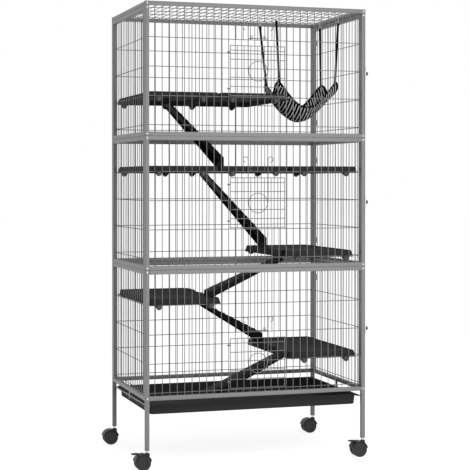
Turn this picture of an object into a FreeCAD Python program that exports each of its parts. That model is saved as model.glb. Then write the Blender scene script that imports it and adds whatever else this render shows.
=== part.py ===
import FreeCAD, Part
import math
import os

Vector = FreeCAD.Vector

# Outer frame
cage_width = 800.0
cage_depth = 508.0
tube = 14.0
tube_wall = 1.2
section_height = 453.0
lower_section_height = 440.0
section_seam = 0.5
leg_length = 168.0
caster_height = 65.0

# Wire panels
wire = 2.6
weld_gap = 0.1
wire_margin = 34.0
columns_half = 14
side_columns = 16
row_first = 120.0
row_foot = 37.2
lower_row_foot = 24.2
row_count = 4
wire_overrun = 2.0
top_rows = 4

# Small front doors
opening_side_count = 4
door_drop = 20.0
door_foot = 3.2
door_side_gap = 6.0
door_top_step = 17.5
door_row_foot = 1.5
door_row_count = 6
door_knuckle_length = 5.0
door_knuckle_share = 0.14
knuckle_clearance = 0.35
latch_wire = 2.5
latch_ring_radius = 34.0
latch_ring_drop = 88.0
latch_rise = 62.0
latch_curl_radius = 9.0
latch_curl_turn = 270.0
latch_bar_rise = 24.0
latch_eye_radius = 4.0
latch_eye_wire = 1.6
latch_gap = 0.4

# Side doors and their turn latches
side_door_gap = 1.5
side_door_seam = 0.75
hinge_radius = 3.8
hinge_standoff = 0.5
hinge_pin = 3.2
hinge_pin_clearance = 0.3
hinge_knuckle = 7.0
hinge_knuckle_gap = 0.5
hinge_leaf_reach = 12.0
hinge_leaf_thickness = 1.2
hinge_share = 0.16
turn_length = 46.0
turn_width = 12.0
turn_thickness = 2.6
turn_taper = 7.0
turn_standoff = 0.6
turn_bore = 4.6
turn_stud = 4.0
turn_knob_radius = 6.5
turn_knob_height = 8.0

# Shelf modules
module_play = 6.5
module_flare = 6.5
module_height = 23.0
module_skin = 2.6
module_corner = 9.0
module_rim = 6.0
module_recess = 3.0
module_wall_gap = 3.0
shelf_left_gap = 1.5
shelf_centre_shift = -4.0
shelf_full_right_gap = 7.0
shelf_middle_right_gap = 22.5
shelf_lower_left_gap = 6.0
shelf_lower_right_gap = 12.5
clamp_lug_radius = 8.0
clamp_lug_thickness = 3.0
clamp_drop = 3.0
clamp_knob_radius = 9.5
clamp_knob_height = 7.0
clamp_stem = 5.0
clamp_gap = 0.3
clamp_bar_rise = 3.5
clamp_bar_height = 5.0
clamp_bar_thickness = 2.2
clamp_bar_overrun = 2.4
clamp_bar_bite = 0.2
shelf_upper_drop = 302.0
shelf_full_drop = 100.5
shelf_right_rise = 56.5
shelf_left_drop = 99.0
shelf_low_rise = 142.0

# Ramps
ramp_width = 96.0
ramp_side_gap = 37.0
ramp_end = 36.0
ramp_short_end = 21.0
ramp_head_height = 7.0
ramp_hole_drop = 22.2
ramp_edge_drop = 30.2
ramp_low_drop = 13.2
ramp_low_gap = 3.0
ramp_skin = 3.0
ramp_hook_thickness = 1.2
ramp_hook_overlap = 5.0
ramp_clearance = 1.0
ramp_rest_gap = 0.3
tread_count = 8
tread_width = 7.0
tread_height = 2.4
tread_inset = 6.0
ramp_hole_margin = 4.0
ramp_hole_length = 108.0
ramp_hole_edge = 16.0
ramp_hole_inset = 46.0
ramp_upper_landing = 64.5
ramp_full_landing = 38.4
ramp_right_landing = 16.5
ramp_left_landing = 12.0
ramp_low_reach = 268.0

# Tray and its runners
tray_drop = 16.0
tray_depth = 36.0
tray_flange_gap = 2.0
tray_flange = 17.0
tray_side_flange = 7.0
tray_flange_thickness = 3.0
tray_draft = 3.0
tray_skin = 2.6
tray_corner = 10.0
runner_thickness = 2.0
runner_ledge = 14.5
runner_gap = 0.5
runner_top_gap = 2.0
hanger_width = 14.0
hanger_drop = 29.0

# Hammock
hammock_left_column_count = 4
hammock_right_column_count = 13
hammock_front_row_count = 1
hammock_back_row_count = 3
hammock_front_step = 6.0
hammock_back_step = 6.0
hammock_front_lean = 4.0
hammock_back_lean = 26.0
hammock_shelf_overlap = 2.0
hammock_side_gap = 46.0
hammock_corner_drop = 251.0
hammock_sag_long = 92.0
hammock_sag_cross = 45.0
hammock_sag_middle = 4.0
hammock_cross_power = 3.2
hammock_bulge = 5.0
hammock_thickness = 3.0
hammock_grid = 9
strap_width = 7.0
strap_thickness = 1.6
strap_gap = 0.4
hook_wire = 2.4
hook_gap = 0.3
hook_drop = 38.0
hook_tail = 6.0

# Casters
caster_trail = 16.0
wheel_radius = 26.0
wheel_width = 15.0
wheel_hub_radius = 13.0
wheel_hub_recess = 2.5
axle = 6.0
axle_clearance = 0.4
web_width = 9.0
wheel_gap = 0.8
hood_gap = 1.6
hood_wall = 2.2
hood_start = 5.0
neck_radius = 9.5
neck_gap = 7.0
stem = 8.0
stem_reach = 24.0
stem_clearance = 0.3
plug_gap = 0.3
brake_length = 23.0
brake_width = 14.0
brake_thickness = 5.5
brake_tab_drop = 1.8
brake_hub_radius = 3.0
brake_hub_gap = 0.6
brake_pin = 2.4
brake_pin_clearance = 0.3
brake_ear = 2.0
brake_ear_gap = 0.4
brake_ear_radius = 2.8
brake_hub_back = 15.0

# Screws
screw_radius = 3.2
screw_head = 1.6

names = ("lower", "middle", "upper")
opening_rows = {"lower": 1, "middle": 0, "upper": 0}

half_width = cage_width / 2
half_depth = cage_depth / 2
inner_half_width = half_width - tube
inner_half_depth = half_depth - tube
wire_pitch = (half_width - wire_margin) / columns_half
opening_half = wire_pitch * opening_side_count
base_z = caster_height + leg_length
door_width = 2 * opening_half - 2 * door_side_gap


def section_bounds():
    bounds = {}
    low = base_z
    for name in names:
        high = low + (lower_section_height if name == "lower" else section_height)
        bounds[name] = (low, high)
        low = high + section_seam
    return bounds


sections = section_bounds()
top_z = sections["upper"][1]


def side_bounds(name):
    """Lower and upper end of a side panel or door; the top one ends under the roof rail."""
    low, high = sections[name]
    return (low, high - tube - section_seam) if name == names[-1] else (low, high)


def row_heights(name):
    low, high = sections[name]
    foot = lower_row_foot if name == "lower" else row_foot
    pitch = (high - low - row_first - foot) / (row_count - 1)
    return [high - row_first - i * pitch for i in range(row_count)]


def block(a, b):
    low = Vector(min(a.x, b.x), min(a.y, b.y), min(a.z, b.z))
    return Part.makeBox(abs(b.x - a.x), abs(b.y - a.y), abs(b.z - a.z), low)


def rod(a, b, diameter):
    path = b - a
    return Part.makeCylinder(diameter / 2, path.Length, a, path)


def ring_tube(centre, axis, length, inner, outer):
    start = centre - axis * (length / 2)
    body = Part.makeCylinder(outer, length, start, axis)
    return body.cut(Part.makeCylinder(inner, length, start, axis))


def at_front(u, w, z):
    return Vector(u, -half_depth + tube / 2 + w, z)


def at_rear(u, w, z):
    return Vector(u, half_depth - tube / 2 - w, z)


def at_left(u, w, z):
    return Vector(-half_width + tube / 2 + w, u, z)


def at_right(u, w, z):
    return Vector(half_width - tube / 2 - w, u, z)


def square_tube(place, u0, u1, z0, z1, upright):
    half = tube / 2
    bore = half - tube_wall
    outer = block(place(u0, -half, z0), place(u1, half, z1))
    side = tube_wall if upright else 0.0
    ends = 0.0 if upright else tube_wall
    inner = block(place(u0 + side, -bore, z0 + ends), place(u1 - side, bore, z1 - ends))
    return outer.cut(inner)


def panel_frame(place, half_span, z0, z1, leg=0.0):
    inner = half_span - tube
    return [
        square_tube(place, -half_span, -inner, z0 - leg, z1, True),
        square_tube(place, inner, half_span, z0 - leg, z1, True),
        square_tube(place, -inner, inner, z0, z0 + tube, False),
        square_tube(place, -inner, inner, z1 - tube, z1, False),
    ]


def upright_wires(place, columns, z0, z1):
    return [rod(place(u, -wire / 2, z0), place(u, -wire / 2, z1), wire) for u in columns]


def cross_wires(place, u0, u1, heights):
    w = wire / 2 + weld_gap
    return [rod(place(u0, w, z), place(u1, w, z), wire) for z in heights]


def full_columns():
    return [wire_pitch * i for i in range(-columns_half, columns_half + 1)]


def side_column_list(half_span):
    inner = half_span - tube
    pitch = 2 * inner / (side_columns + 1)
    return [-inner + pitch * (i + 1) for i in range(side_columns)]


def rear_panel(name):
    z0, z1 = sections[name]
    leg = leg_length if name == "lower" else 0.0
    solids = panel_frame(at_rear, half_width, z0, z1, leg)
    solids += upright_wires(at_rear, full_columns(), z0 + tube, z1 - tube)
    solids += cross_wires(at_rear, -inner_half_width, inner_half_width, row_heights(name))
    return Part.makeCompound(solids)


def front_panel(name):
    z0, z1 = sections[name]
    leg = leg_length if name == "lower" else 0.0
    rows = row_heights(name)
    first = opening_rows[name]
    head, split, sill = rows[first], rows[first + 1], rows[first + 2]
    solids = panel_frame(at_front, half_width, z0, z1, leg)
    columns = full_columns()
    whole = [u for u in columns if abs(u) > opening_half - wire]
    broken = [u for u in columns if abs(u) <= opening_half - wire]
    solids += upright_wires(at_front, whole, z0 + tube, z1 - tube)
    solids += upright_wires(at_front, broken, z0 + tube, sill + wire_overrun)
    solids += upright_wires(at_front, broken, head - wire_overrun, z1 - tube)
    uncut = [z for z in rows if z != split]
    solids += cross_wires(at_front, -inner_half_width, inner_half_width, uncut)
    edge = opening_half - wire_overrun
    solids += cross_wires(at_front, -inner_half_width, -edge, [split])
    solids += cross_wires(at_front, edge, inner_half_width, [split])
    return Part.makeCompound(solids)


def left_panel(name):
    z0, z1 = side_bounds(name)
    half_span = inner_half_depth
    inner = half_span - tube
    solids = panel_frame(at_left, half_span, z0, z1)
    solids += upright_wires(at_left, side_column_list(half_span), z0 + tube, z1 - tube)
    solids += cross_wires(at_left, -inner, inner, row_heights(name))
    return Part.makeCompound(solids)


def hinge_axis():
    return Vector(half_width + hinge_standoff + hinge_radius, inner_half_depth - side_door_gap / 2, 0)


def hinge_heights(name):
    z0, z1 = sections[name]
    inset = (z1 - z0) * hinge_share
    return [z0 + inset, z1 - inset]


def hinge_leaf(z, side, knuckles):
    """One leaf with its barrels: side is +1 on the rear post and -1 on the door."""
    axis = hinge_axis()
    span = hinge_knuckle * 3 + hinge_knuckle_gap * 2
    root = axis.y + side * side_door_gap
    tip = axis.y + side * hinge_leaf_reach
    low, high = z - span / 2, z + span / 2
    if side < 0:
        low, high = z - hinge_knuckle / 2, z + hinge_knuckle / 2
    leaf = block(Vector(half_width, root, low), Vector(half_width + hinge_leaf_thickness, tip, high))
    for middle in knuckles:
        start = Vector(axis.x, axis.y, middle - hinge_knuckle / 2)
        bar = Part.makeCylinder(hinge_radius, hinge_knuckle, start)
        neck = block(
            Vector(half_width, axis.y, middle - hinge_knuckle / 2),
            Vector(axis.x, axis.y + side * side_door_gap, middle + hinge_knuckle / 2),
        )
        leaf = leaf.fuse(bar).fuse(neck)
    return leaf


def side_door(name):
    z0, z1 = side_bounds(name)
    half_span = inner_half_depth - side_door_gap
    inner = half_span - tube
    low, high = z0 + side_door_seam, z1 - side_door_seam
    solids = panel_frame(at_right, half_span, low, high)
    solids += upright_wires(at_right, side_column_list(half_span), low + tube, high - tube)
    solids += cross_wires(at_right, -inner, inner, row_heights(name))
    axis = hinge_axis()
    bore = hinge_pin / 2 + hinge_pin_clearance
    for z in hinge_heights(name):
        start = Vector(axis.x, axis.y, z - hinge_knuckle / 2)
        leaf = hinge_leaf(z, -1, [z])
        solids.append(leaf.cut(Part.makeCylinder(bore, hinge_knuckle, start)))
    return Part.makeCompound(solids)


def side_door_hinges():
    axis = hinge_axis()
    step = hinge_knuckle + hinge_knuckle_gap
    solids = []
    for name in names:
        for z in hinge_heights(name):
            leaf = hinge_leaf(z, 1, [z - step, z + step])
            span = hinge_knuckle * 3 + hinge_knuckle_gap * 2
            window = block(
                Vector(half_width, axis.y - side_door_gap, z - step / 2),
                Vector(axis.x + hinge_radius, axis.y + hinge_radius + hinge_standoff, z + step / 2),
            )
            leaf = leaf.cut(window)
            start = Vector(axis.x, axis.y, z - span / 2)
            solids.append(leaf.fuse(Part.makeCylinder(hinge_pin / 2, span, start)).removeSplitter())
    return Part.makeCompound(solids)


def latch_height(name):
    z0, z1 = sections[name]
    return (z0 + z1) / 2


def side_latch(name):
    z = latch_height(name)
    x = half_width + turn_standoff
    y = -half_depth + tube / 2
    reach, half = turn_length / 2, turn_width / 2
    corners = [
        (-half, reach - turn_taper),
        (-half + turn_taper / 2, reach),
        (half - turn_taper / 2, reach),
        (half, reach - turn_taper),
        (half, -reach + turn_taper),
        (half - turn_taper / 2, -reach),
        (-half + turn_taper / 2, -reach),
        (-half, -reach + turn_taper),
    ]
    points = [Vector(x, y + a, z + b) for a, b in corners]
    plate = Part.Face(Part.makePolygon(points + points[:1])).extrude(Vector(turn_thickness, 0, 0))
    along = Vector(turn_thickness, 0, 0)
    hole = Part.makeCylinder(turn_bore / 2, turn_thickness, Vector(x, y, z), along)
    return plate.cut(hole)


def side_latch_knob(name):
    x = half_width + turn_standoff + turn_thickness
    centre = Vector(x, -half_depth + tube / 2, latch_height(name))
    body = Part.makeCylinder(turn_knob_radius, turn_knob_height, centre, Vector(1, 0, 0))
    rim = [e for e in body.Edges if abs(e.BoundBox.XMin - x - turn_knob_height) < weld_gap]
    return body.makeFillet(turn_knob_radius / 3, rim[:1])


def door_top(name):
    return row_heights(name)[opening_rows[name]] - door_drop


def door_bottom(name):
    return row_heights(name)[opening_rows[name] + 2] + door_foot


def door_knuckle_heights(name):
    low, high = door_bottom(name), door_top(name)
    inset = (high - low) * door_knuckle_share
    return [low + inset, high - inset]


def front_door(name):
    low, high = door_bottom(name), door_top(name)
    left, right = -opening_half + door_side_gap, opening_half - door_side_gap
    spaces = 2 * opening_side_count
    columns = [left + (right - left) * i / spaces for i in range(spaces + 1)]
    solids = upright_wires(at_front, columns, low, high)
    first_row, last_row = high - door_top_step, low + door_row_foot
    step = (first_row - last_row) / (door_row_count - 1)
    heights = [high - wire / 2] + [first_row - step * i for i in range(door_row_count)]
    w = -wire - wire / 2 - weld_gap
    for z in heights:
        solids.append(rod(at_front(left - wire / 2, w, z), at_front(right + wire / 2, w, z), wire))
    inner = wire / 2 + knuckle_clearance
    outer = door_side_gap - wire / 2
    for z in door_knuckle_heights(name):
        centre = at_front(-opening_half, -wire / 2, z)
        solids.append(ring_tube(centre, Vector(0, 0, 1), door_knuckle_length, inner, outer))
    return Part.makeCompound(solids)


def curled_upright(side, z_ring, z_top, w):
    """A latch upright that ends in a curl turned away from the middle."""
    x = side * (latch_ring_radius + latch_wire)
    start, end = at_front(x, w, z_ring), at_front(x, w, z_top)
    centre = end + Vector(side * latch_curl_radius, 0, 0)

    def on_curl(turn):
        angle = math.radians(turn)
        return centre + Vector(-side * math.cos(angle), 0, math.sin(angle)) * latch_curl_radius

    curl = Part.Arc(on_curl(0), on_curl(latch_curl_turn / 2), on_curl(latch_curl_turn)).toShape()
    path = Part.Wire([Part.makeLine(start, end), curl])
    section = Part.Wire(Part.makeCircle(latch_wire / 2, start, Vector(0, 0, 1)))
    return path.makePipeShell([section], True, True)


def front_latch(name):
    high = door_top(name)
    w = -2 * wire - 2 * weld_gap - latch_gap - latch_wire / 2
    z_ring = high - latch_ring_drop
    ring = Part.makeTorus(latch_ring_radius, latch_wire / 2, at_front(0, w, z_ring), Vector(0, 1, 0))
    solids = [ring]
    for side in (-1, 1):
        solids.append(curled_upright(side, z_ring, high + latch_rise, w))
    z_bar = high + latch_bar_rise
    reach = latch_ring_radius + latch_wire / 2
    bar_w = w
    solids.append(rod(at_front(-reach, bar_w, z_bar), at_front(reach, bar_w, z_bar), latch_wire))
    for side in (-1, 1):
        z_eye = z_bar + latch_wire / 2 + latch_eye_radius + latch_eye_wire / 2
        centre = at_front(side * latch_ring_radius * 2 / 3, bar_w, z_eye)
        solids.append(Part.makeTorus(latch_eye_radius, latch_eye_wire / 2, centre, Vector(0, 1, 0)))
    return Part.makeCompound(solids)


def top_row_y(count):
    return -inner_half_depth + 2 * inner_half_depth * count / (top_rows + 1)


def top_mesh():
    z = top_z - tube / 2
    y = inner_half_depth
    upper = z + wire / 2
    lower = z - wire / 2 - weld_gap
    solids = [square_tube(place, -y, y, top_z - tube, top_z, False) for place in (at_left, at_right)]
    solids += [rod(Vector(x, -y, upper), Vector(x, y, upper), wire) for x in full_columns()]
    reach = inner_half_width
    for i in range(top_rows):
        row = top_row_y(i + 1)
        solids.append(rod(Vector(-reach, row, lower), Vector(reach, row, lower), wire))
    return Part.makeCompound(solids)


def rounded_wire(half_x, half_y, radius, centre):
    ix, iy = half_x - radius, half_y - radius
    diagonal = radius * math.sqrt(2) / 2
    edges = []
    quadrants = ((1, 1), (-1, 1), (-1, -1), (1, -1))
    for i, (sx, sy) in enumerate(quadrants):
        hub = centre + Vector(sx * ix, sy * iy, 0)
        along = Vector(sx * radius, 0, 0)
        across = Vector(0, sy * radius, 0)
        first, last = (along, across) if i % 2 == 0 else (across, along)
        middle = Vector(sx * diagonal, sy * diagonal, 0)
        edges.append(Part.Arc(hub + first, hub + middle, hub + last).toShape())
    ring = []
    for i, arc in enumerate(edges):
        following = edges[(i + 1) % len(edges)]
        ring.append(arc)
        ring.append(Part.makeLine(arc.valueAt(arc.LastParameter), following.valueAt(following.FirstParameter)))
    return Part.Wire(ring)


def tapered(low_half, high_half, radius, centre, z0, z1):
    low = rounded_wire(low_half[0], low_half[1], radius, Vector(centre.x, centre.y, z0))
    high = rounded_wire(high_half[0], high_half[1], radius, Vector(centre.x, centre.y, z1))
    return Part.makeLoft([low, high], True, True)


module_foot_x = (inner_half_width - module_play) / 3
module_foot_y = inner_half_depth - module_wall_gap
module_top_x = module_foot_x - module_flare
module_top_y = module_foot_y - module_flare
module_reach = inner_half_width - module_foot_x
left_x = shelf_left_gap - module_reach
full_right_x = module_reach - shelf_full_right_gap
middle_right_x = module_reach - shelf_middle_right_gap
lower_left_x = shelf_lower_left_gap - module_reach
lower_right_x = module_reach - shelf_lower_right_gap
ramp_offset = module_foot_y - ramp_width / 2 - ramp_side_gap
level_upper = top_z - shelf_upper_drop
level_full = sections["middle"][1] - shelf_full_drop
level_right = sections["middle"][0] + shelf_right_rise
level_left = sections["lower"][1] - shelf_left_drop
level_low = sections["lower"][0] + shelf_low_rise
ramp_hole_upper_x = left_x + module_top_x - ramp_hole_edge - ramp_hole_length
ramp_hole_full_x = shelf_centre_shift - module_top_x + ramp_hole_inset


def hole_block(x0, x1, y_centre, level):
    half = ramp_width / 2 + ramp_hole_margin
    return block(
        Vector(x0, y_centre - half, level - module_height),
        Vector(x1, y_centre + half, level),
    )


def gap_middle(count):
    """Middle of the gap to the right of an upright wire, counted from the middle wire."""
    return wire_pitch * (count + 0.5)


def shelf_module(x_centre, level, gaps, hole=None):
    centre = Vector(x_centre, 0, 0)
    foot = level - module_height
    skin = module_skin
    outer = tapered((module_foot_x, module_foot_y), (module_top_x, module_top_y), module_corner, centre, foot, level)
    hollow = tapered(
        (module_foot_x - skin, module_foot_y - skin),
        (module_top_x - skin, module_top_y - skin),
        module_corner - skin,
        centre,
        foot,
        level - module_recess - skin,
    )
    rim = module_rim
    pocket_half = (module_top_x - rim, module_top_y - rim)
    pocket = tapered(pocket_half, pocket_half, module_corner - rim, centre, level - module_recess, level)
    body = outer.cut(hollow).cut(pocket)
    lug_y = module_foot_y - clamp_lug_thickness
    for side in (-1, 1):
        for count in gaps:
            start = Vector(gap_middle(count), side * lug_y, foot)
            facing = Vector(0, side, 0)
            lug = Part.makeCylinder(clamp_lug_radius, clamp_lug_thickness, start, facing)
            flat = block(
                Vector(start.x - clamp_lug_radius, side * lug_y, foot),
                Vector(start.x + clamp_lug_radius, side * module_foot_y, foot + clamp_lug_radius),
            )
            body = body.fuse(lug.cut(flat))
    if hole:
        body = body.cut(hole_block(hole[0], hole[1], hole[2], level))
    return body


shelf_plan = {
    "shelf_upper_left": (left_x, level_upper, (-14, -8)),
    "shelf_upper_centre": (shelf_centre_shift, level_upper, (-4, 2)),
    "shelf_full_left": (left_x, level_full, (-14, -8)),
    "shelf_full_centre": (shelf_centre_shift, level_full, (-4, 2)),
    "shelf_full_right": (full_right_x, level_full, (6, 12)),
    "shelf_middle_right": (middle_right_x, level_right, (5, 12)),
    "shelf_lower_left": (lower_left_x, level_left, (-14, -7)),
    "shelf_lower_right": (lower_right_x, level_low, (6, 12)),
}
shelf_holes = {
    "shelf_upper_left": (ramp_hole_upper_x, ramp_hole_upper_x + ramp_hole_length, 0.0),
    "shelf_full_centre": (ramp_hole_full_x, ramp_hole_full_x + ramp_hole_length, ramp_offset),
}


def shelf_knobs():
    """Round knobs on a bar across two upright wires, with a stem back to the shelf lug."""
    lug_face = module_foot_y + clamp_gap
    wire_face = half_depth - tube / 2 + wire + weld_gap
    bar_face = wire_face + clamp_bar_thickness
    reach = wire_pitch / 2 + clamp_bar_overrun
    solids = []
    for x_centre, level, gaps in shelf_plan.values():
        z = level - module_height - clamp_drop
        for side in (-1, 1):
            for count in gaps:
                x = gap_middle(count)
                facing = Vector(0, side, 0)
                knob_face = bar_face - clamp_bar_bite
                start = Vector(x, side * lug_face, z)
                stem_rod = Part.makeCylinder(clamp_stem / 2, bar_face - lug_face, start, facing)
                head = Part.makeCylinder(clamp_knob_radius, clamp_knob_height, Vector(x, side * knob_face, z), facing)
                low = z + clamp_bar_rise
                bar = block(
                    Vector(x - reach, side * wire_face, low),
                    Vector(x + reach, side * bar_face, low + clamp_bar_height),
                )
                solids.append(stem_rod.fuse(head).fuse(bar).removeSplitter())
    return Part.makeCompound(solids)


def slab(points, y0, y1):
    outline = [Vector(x, y0, z) for x, z in points]
    return Part.Face(Part.makePolygon(outline + outline[:1])).extrude(Vector(0, y1 - y0, 0))


def ramp(x_head, z_head, x_foot, z_foot, y_centre, hook_x, drop, end):
    """A ramp with tapering down-turned sides and a closed foot, hung by a plate and hook from its head."""
    y0, y1 = y_centre - ramp_width / 2, y_centre + ramp_width / 2
    run = x_foot - x_head
    way = 1 if run > 0 else -1
    z_top, z_low = z_head - drop, z_foot + end
    slope = (z_low - z_top) / run

    def line(x):
        return z_top + slope * (x - x_head)

    skin = ramp_skin * math.hypot(1, slope)
    side = [(x_head, z_top), (x_foot, z_low), (x_foot, z_foot), (x_head, z_top - ramp_head_height)]
    deck = [(x_head, z_top), (x_foot, z_low), (x_foot, z_low - skin), (x_head, z_top - skin)]
    body = slab(deck, y0, y1)
    body = body.fuse(slab(side, y0, y0 + ramp_skin)).fuse(slab(side, y1 - ramp_skin, y1))
    x_back = x_head + way * ramp_skin
    back = [(x_head, z_head), (x_back, z_head), (x_back, line(x_back) - skin), (x_head, z_top - skin)]
    body = body.fuse(slab(back, y0, y1))
    x_end = x_foot - way * ramp_skin
    front = [(x_foot, z_low), (x_end, line(x_end)), (x_end, z_foot), (x_foot, z_foot)]
    body = body.fuse(slab(front, y0, y1))
    hook = [(hook_x, z_head), (x_back, z_head), (x_back, z_head - ramp_hook_thickness), (hook_x, z_head - ramp_hook_thickness)]
    body = body.fuse(slab(hook, y0, y1))
    lift = tread_height * math.hypot(1, slope)
    for i in range(tread_count):
        middle = x_head + run * (i + 1) / (tread_count + 1)
        reach = tread_width / 2 / math.hypot(1, slope)
        a, b = middle - reach, middle + reach
        rib = [(a, line(a) - skin / 2), (b, line(b) - skin / 2), (b, line(b) + lift), (a, line(a) + lift)]
        body = body.fuse(slab(rib, y0 + tread_inset, y1 - tread_inset))
    return body.removeSplitter()


def edge_start(x_centre, way):
    """Where a ramp stands and how far its hook reaches at the end of a shelf; way is the ramp's own direction."""
    edge = x_centre + way * (module_foot_x + ramp_clearance)
    hook = x_centre + way * (module_top_x - ramp_hook_overlap)
    return edge, hook


def ramps():
    deck = -module_recess
    seat = ramp_rest_gap + ramp_hook_thickness
    outer_hook = -ramp_hook_overlap - ramp_clearance
    right_head, right_hook = edge_start(middle_right_x, -1)
    left_head, left_hook = edge_start(lower_left_x, 1)
    low_head, low_hook = edge_start(lower_right_x, -1)
    return {
        "ramp_upper": ramp(
            ramp_hole_upper_x + ramp_clearance, level_upper + deck + seat,
            shelf_centre_shift - module_top_x + ramp_upper_landing, level_full + deck + ramp_rest_gap, 0.0,
            ramp_hole_upper_x + outer_hook, ramp_hole_drop, ramp_end),
        "ramp_full": ramp(
            ramp_hole_full_x + ramp_clearance, level_full + deck + seat,
            middle_right_x - module_top_x + ramp_full_landing, level_right + deck + ramp_rest_gap, ramp_offset,
            ramp_hole_full_x + outer_hook, ramp_hole_drop, ramp_end),
        "ramp_right": ramp(
            right_head, level_right + seat,
            lower_left_x + module_top_x - ramp_right_landing, level_left + deck + ramp_rest_gap, -ramp_offset,
            right_hook, ramp_edge_drop, ramp_short_end),
        "ramp_left": ramp(
            left_head, level_left + seat,
            lower_right_x - module_top_x + ramp_left_landing, level_low + deck + ramp_rest_gap, ramp_offset,
            left_hook, ramp_edge_drop, ramp_end),
        "ramp_low": ramp(
            low_head, level_low + seat,
            low_head - ramp_low_reach, tray_rim_z() + ramp_low_gap, -ramp_offset,
            low_hook, ramp_low_drop, ramp_short_end),
    }


def tray_rim_z():
    return base_z - tray_drop


def tray():
    rim = tray_rim_z()
    floor = rim - tray_depth
    flange_half = (inner_half_width - tray_flange_gap, inner_half_depth - tray_flange_gap)
    wall_top = (flange_half[0] - tray_side_flange, flange_half[1] - tray_flange)
    wall_low = (wall_top[0] - tray_draft, wall_top[1] - tray_draft)
    centre = Vector(0, 0, 0)
    flange = tapered(flange_half, flange_half, tray_corner, centre, rim - tray_flange_thickness, rim)
    outer = tapered(wall_low, wall_top, tray_corner, centre, floor, rim)
    skin = tray_skin
    inside = tapered(
        (wall_low[0] - skin, wall_low[1] - skin),
        (wall_top[0] - skin, wall_top[1] - skin),
        tray_corner - skin,
        centre,
        floor + skin,
        rim,
    )
    return flange.fuse(outer).cut(inside)


def tray_runner(side):
    ledge_top = tray_rim_z() - tray_flange_thickness - runner_gap
    outside = half_width - tube / 2
    top = base_z if side < 0 else base_z - runner_top_gap
    ledge = block(
        Vector(side * outside, -inner_half_depth, ledge_top - runner_thickness),
        Vector(side * (outside - runner_ledge), inner_half_depth, ledge_top),
    )
    tab = block(
        Vector(side * (outside + runner_thickness), -hanger_width / 2, base_z - hanger_drop),
        Vector(side * outside, hanger_width / 2, top),
    )
    return ledge.fuse(tab).removeSplitter()


def hook_rows():
    front = top_row_y(hammock_front_row_count) + hammock_front_step
    back = top_row_y(hammock_back_row_count) - hammock_back_step
    return front, back


def hammock_points():
    front, back = hook_rows()
    x0 = shelf_centre_shift + module_top_x - hammock_shelf_overlap
    x1 = inner_half_width - hammock_side_gap
    return x0, x1, front + hammock_front_lean, back - hammock_back_lean, top_z - hammock_corner_drop


def hammock_cloth():
    x0, x1, y0, y1, corner = hammock_points()
    rows = []
    for i in range(hammock_grid):
        u = 2 * i / (hammock_grid - 1) - 1
        line = []
        for j in range(hammock_grid):
            v = 2 * j / (hammock_grid - 1) - 1
            long_sag, cross_sag = 1 - u * u, 1 - abs(v) ** hammock_cross_power
            drop = hammock_sag_long * long_sag + hammock_sag_cross * cross_sag
            drop += hammock_sag_middle * long_sag * cross_sag
            x = (x0 + x1) / 2 + u * (x1 - x0) / 2 + hammock_bulge * u ** 3 * 4 * v * v * (1 - v * v)
            y = (y0 + y1) / 2 + v * (y1 - y0) / 2
            line.append(Vector(x, y, corner - drop))
        rows.append(line)
    surface = Part.BSplineSurface()
    surface.interpolate(rows)
    return surface.toShape().extrude(Vector(0, 0, hammock_thickness))


def hook_offset():
    return wire / 2 + hook_wire / 2 + hook_gap


def hook_foot_z():
    return top_z - tube / 2 - hook_drop


def hook_places():
    """Wire x and y of each hook, left to right and front to back."""
    left = hammock_left_column_count * wire_pitch
    right = hammock_right_column_count * wire_pitch
    return [(x, y) for x in (left, right) for y in hook_rows()]


def flat_rectangle(centre, size_x, size_y):
    a, b = Vector(size_x / 2, size_y / 2, 0), Vector(size_x / 2, -size_y / 2, 0)
    points = [centre + a, centre + b, centre - a, centre - b]
    return Part.makePolygon(points + points[:1])


def hammock_straps():
    x0, x1, y0, y1, corner = hammock_points()
    seat = corner + hammock_thickness + strap_gap
    inset_x, inset_y = strap_width / 2, strap_thickness / 2
    solids = []
    for x, y in hook_places():
        end_x = x0 + inset_x if x < (x0 + x1) / 2 else x1 - inset_x
        end_y = y0 + inset_y if y < (y0 + y1) / 2 else y1 - inset_y
        low = flat_rectangle(Vector(end_x, end_y, seat), strap_width, strap_thickness)
        high_z = hook_foot_z() - strap_gap
        high = flat_rectangle(Vector(x + hook_offset(), y, high_z), strap_width, strap_thickness)
        solids.append(Part.makeLoft([low, high], True, True))
    return Part.makeCompound(solids)


def hammock_hooks():
    z = top_z - tube / 2 + wire / 2
    r = hook_offset()
    solids = []
    for x, y in hook_places():
        foot = Vector(x + r, y, hook_foot_z())
        rise = Vector(x + r, y, z)
        fall = Vector(x - r, y, z)
        arc = Part.Arc(rise, Vector(x, y, z + r), fall).toShape()
        tail = fall - Vector(0, 0, hook_tail)
        path = Part.Wire([Part.makeLine(foot, rise), arc, Part.makeLine(fall, tail)])
        section = Part.Wire(Part.makeCircle(hook_wire / 2, foot, Vector(0, 0, 1)))
        solids.append(path.makePipeShell([section], True, True))
    return Part.makeCompound(solids)


def leg_axis(sx, sy):
    return Vector(sx * (half_width - tube / 2), sy * (half_depth - tube / 2), 0)


legs = {"front_left": (-1, -1), "front_right": (1, -1), "rear_left": (-1, 1), "rear_right": (1, 1)}


def leg_plugs():
    side = tube / 2 - tube_wall - plug_gap
    solids = []
    for sx, sy in legs.values():
        axis = leg_axis(sx, sy)
        low = axis + Vector(-side, -side, caster_height)
        high = axis + Vector(side, side, caster_height + stem_reach)
        bore = Part.makeCylinder(stem / 2 + stem_clearance, stem_reach, axis + Vector(0, 0, caster_height))
        solids.append(block(low, high).cut(bore))
    return Part.makeCompound(solids)


def hood_radius():
    return wheel_radius + hood_gap + hood_wall


def brake_pivot():
    x = -caster_trail - brake_hub_back
    z = wheel_radius + math.sqrt(hood_radius() ** 2 - brake_hub_back ** 2) + brake_hub_radius + brake_hub_gap
    return Vector(x, 0, z)


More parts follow.
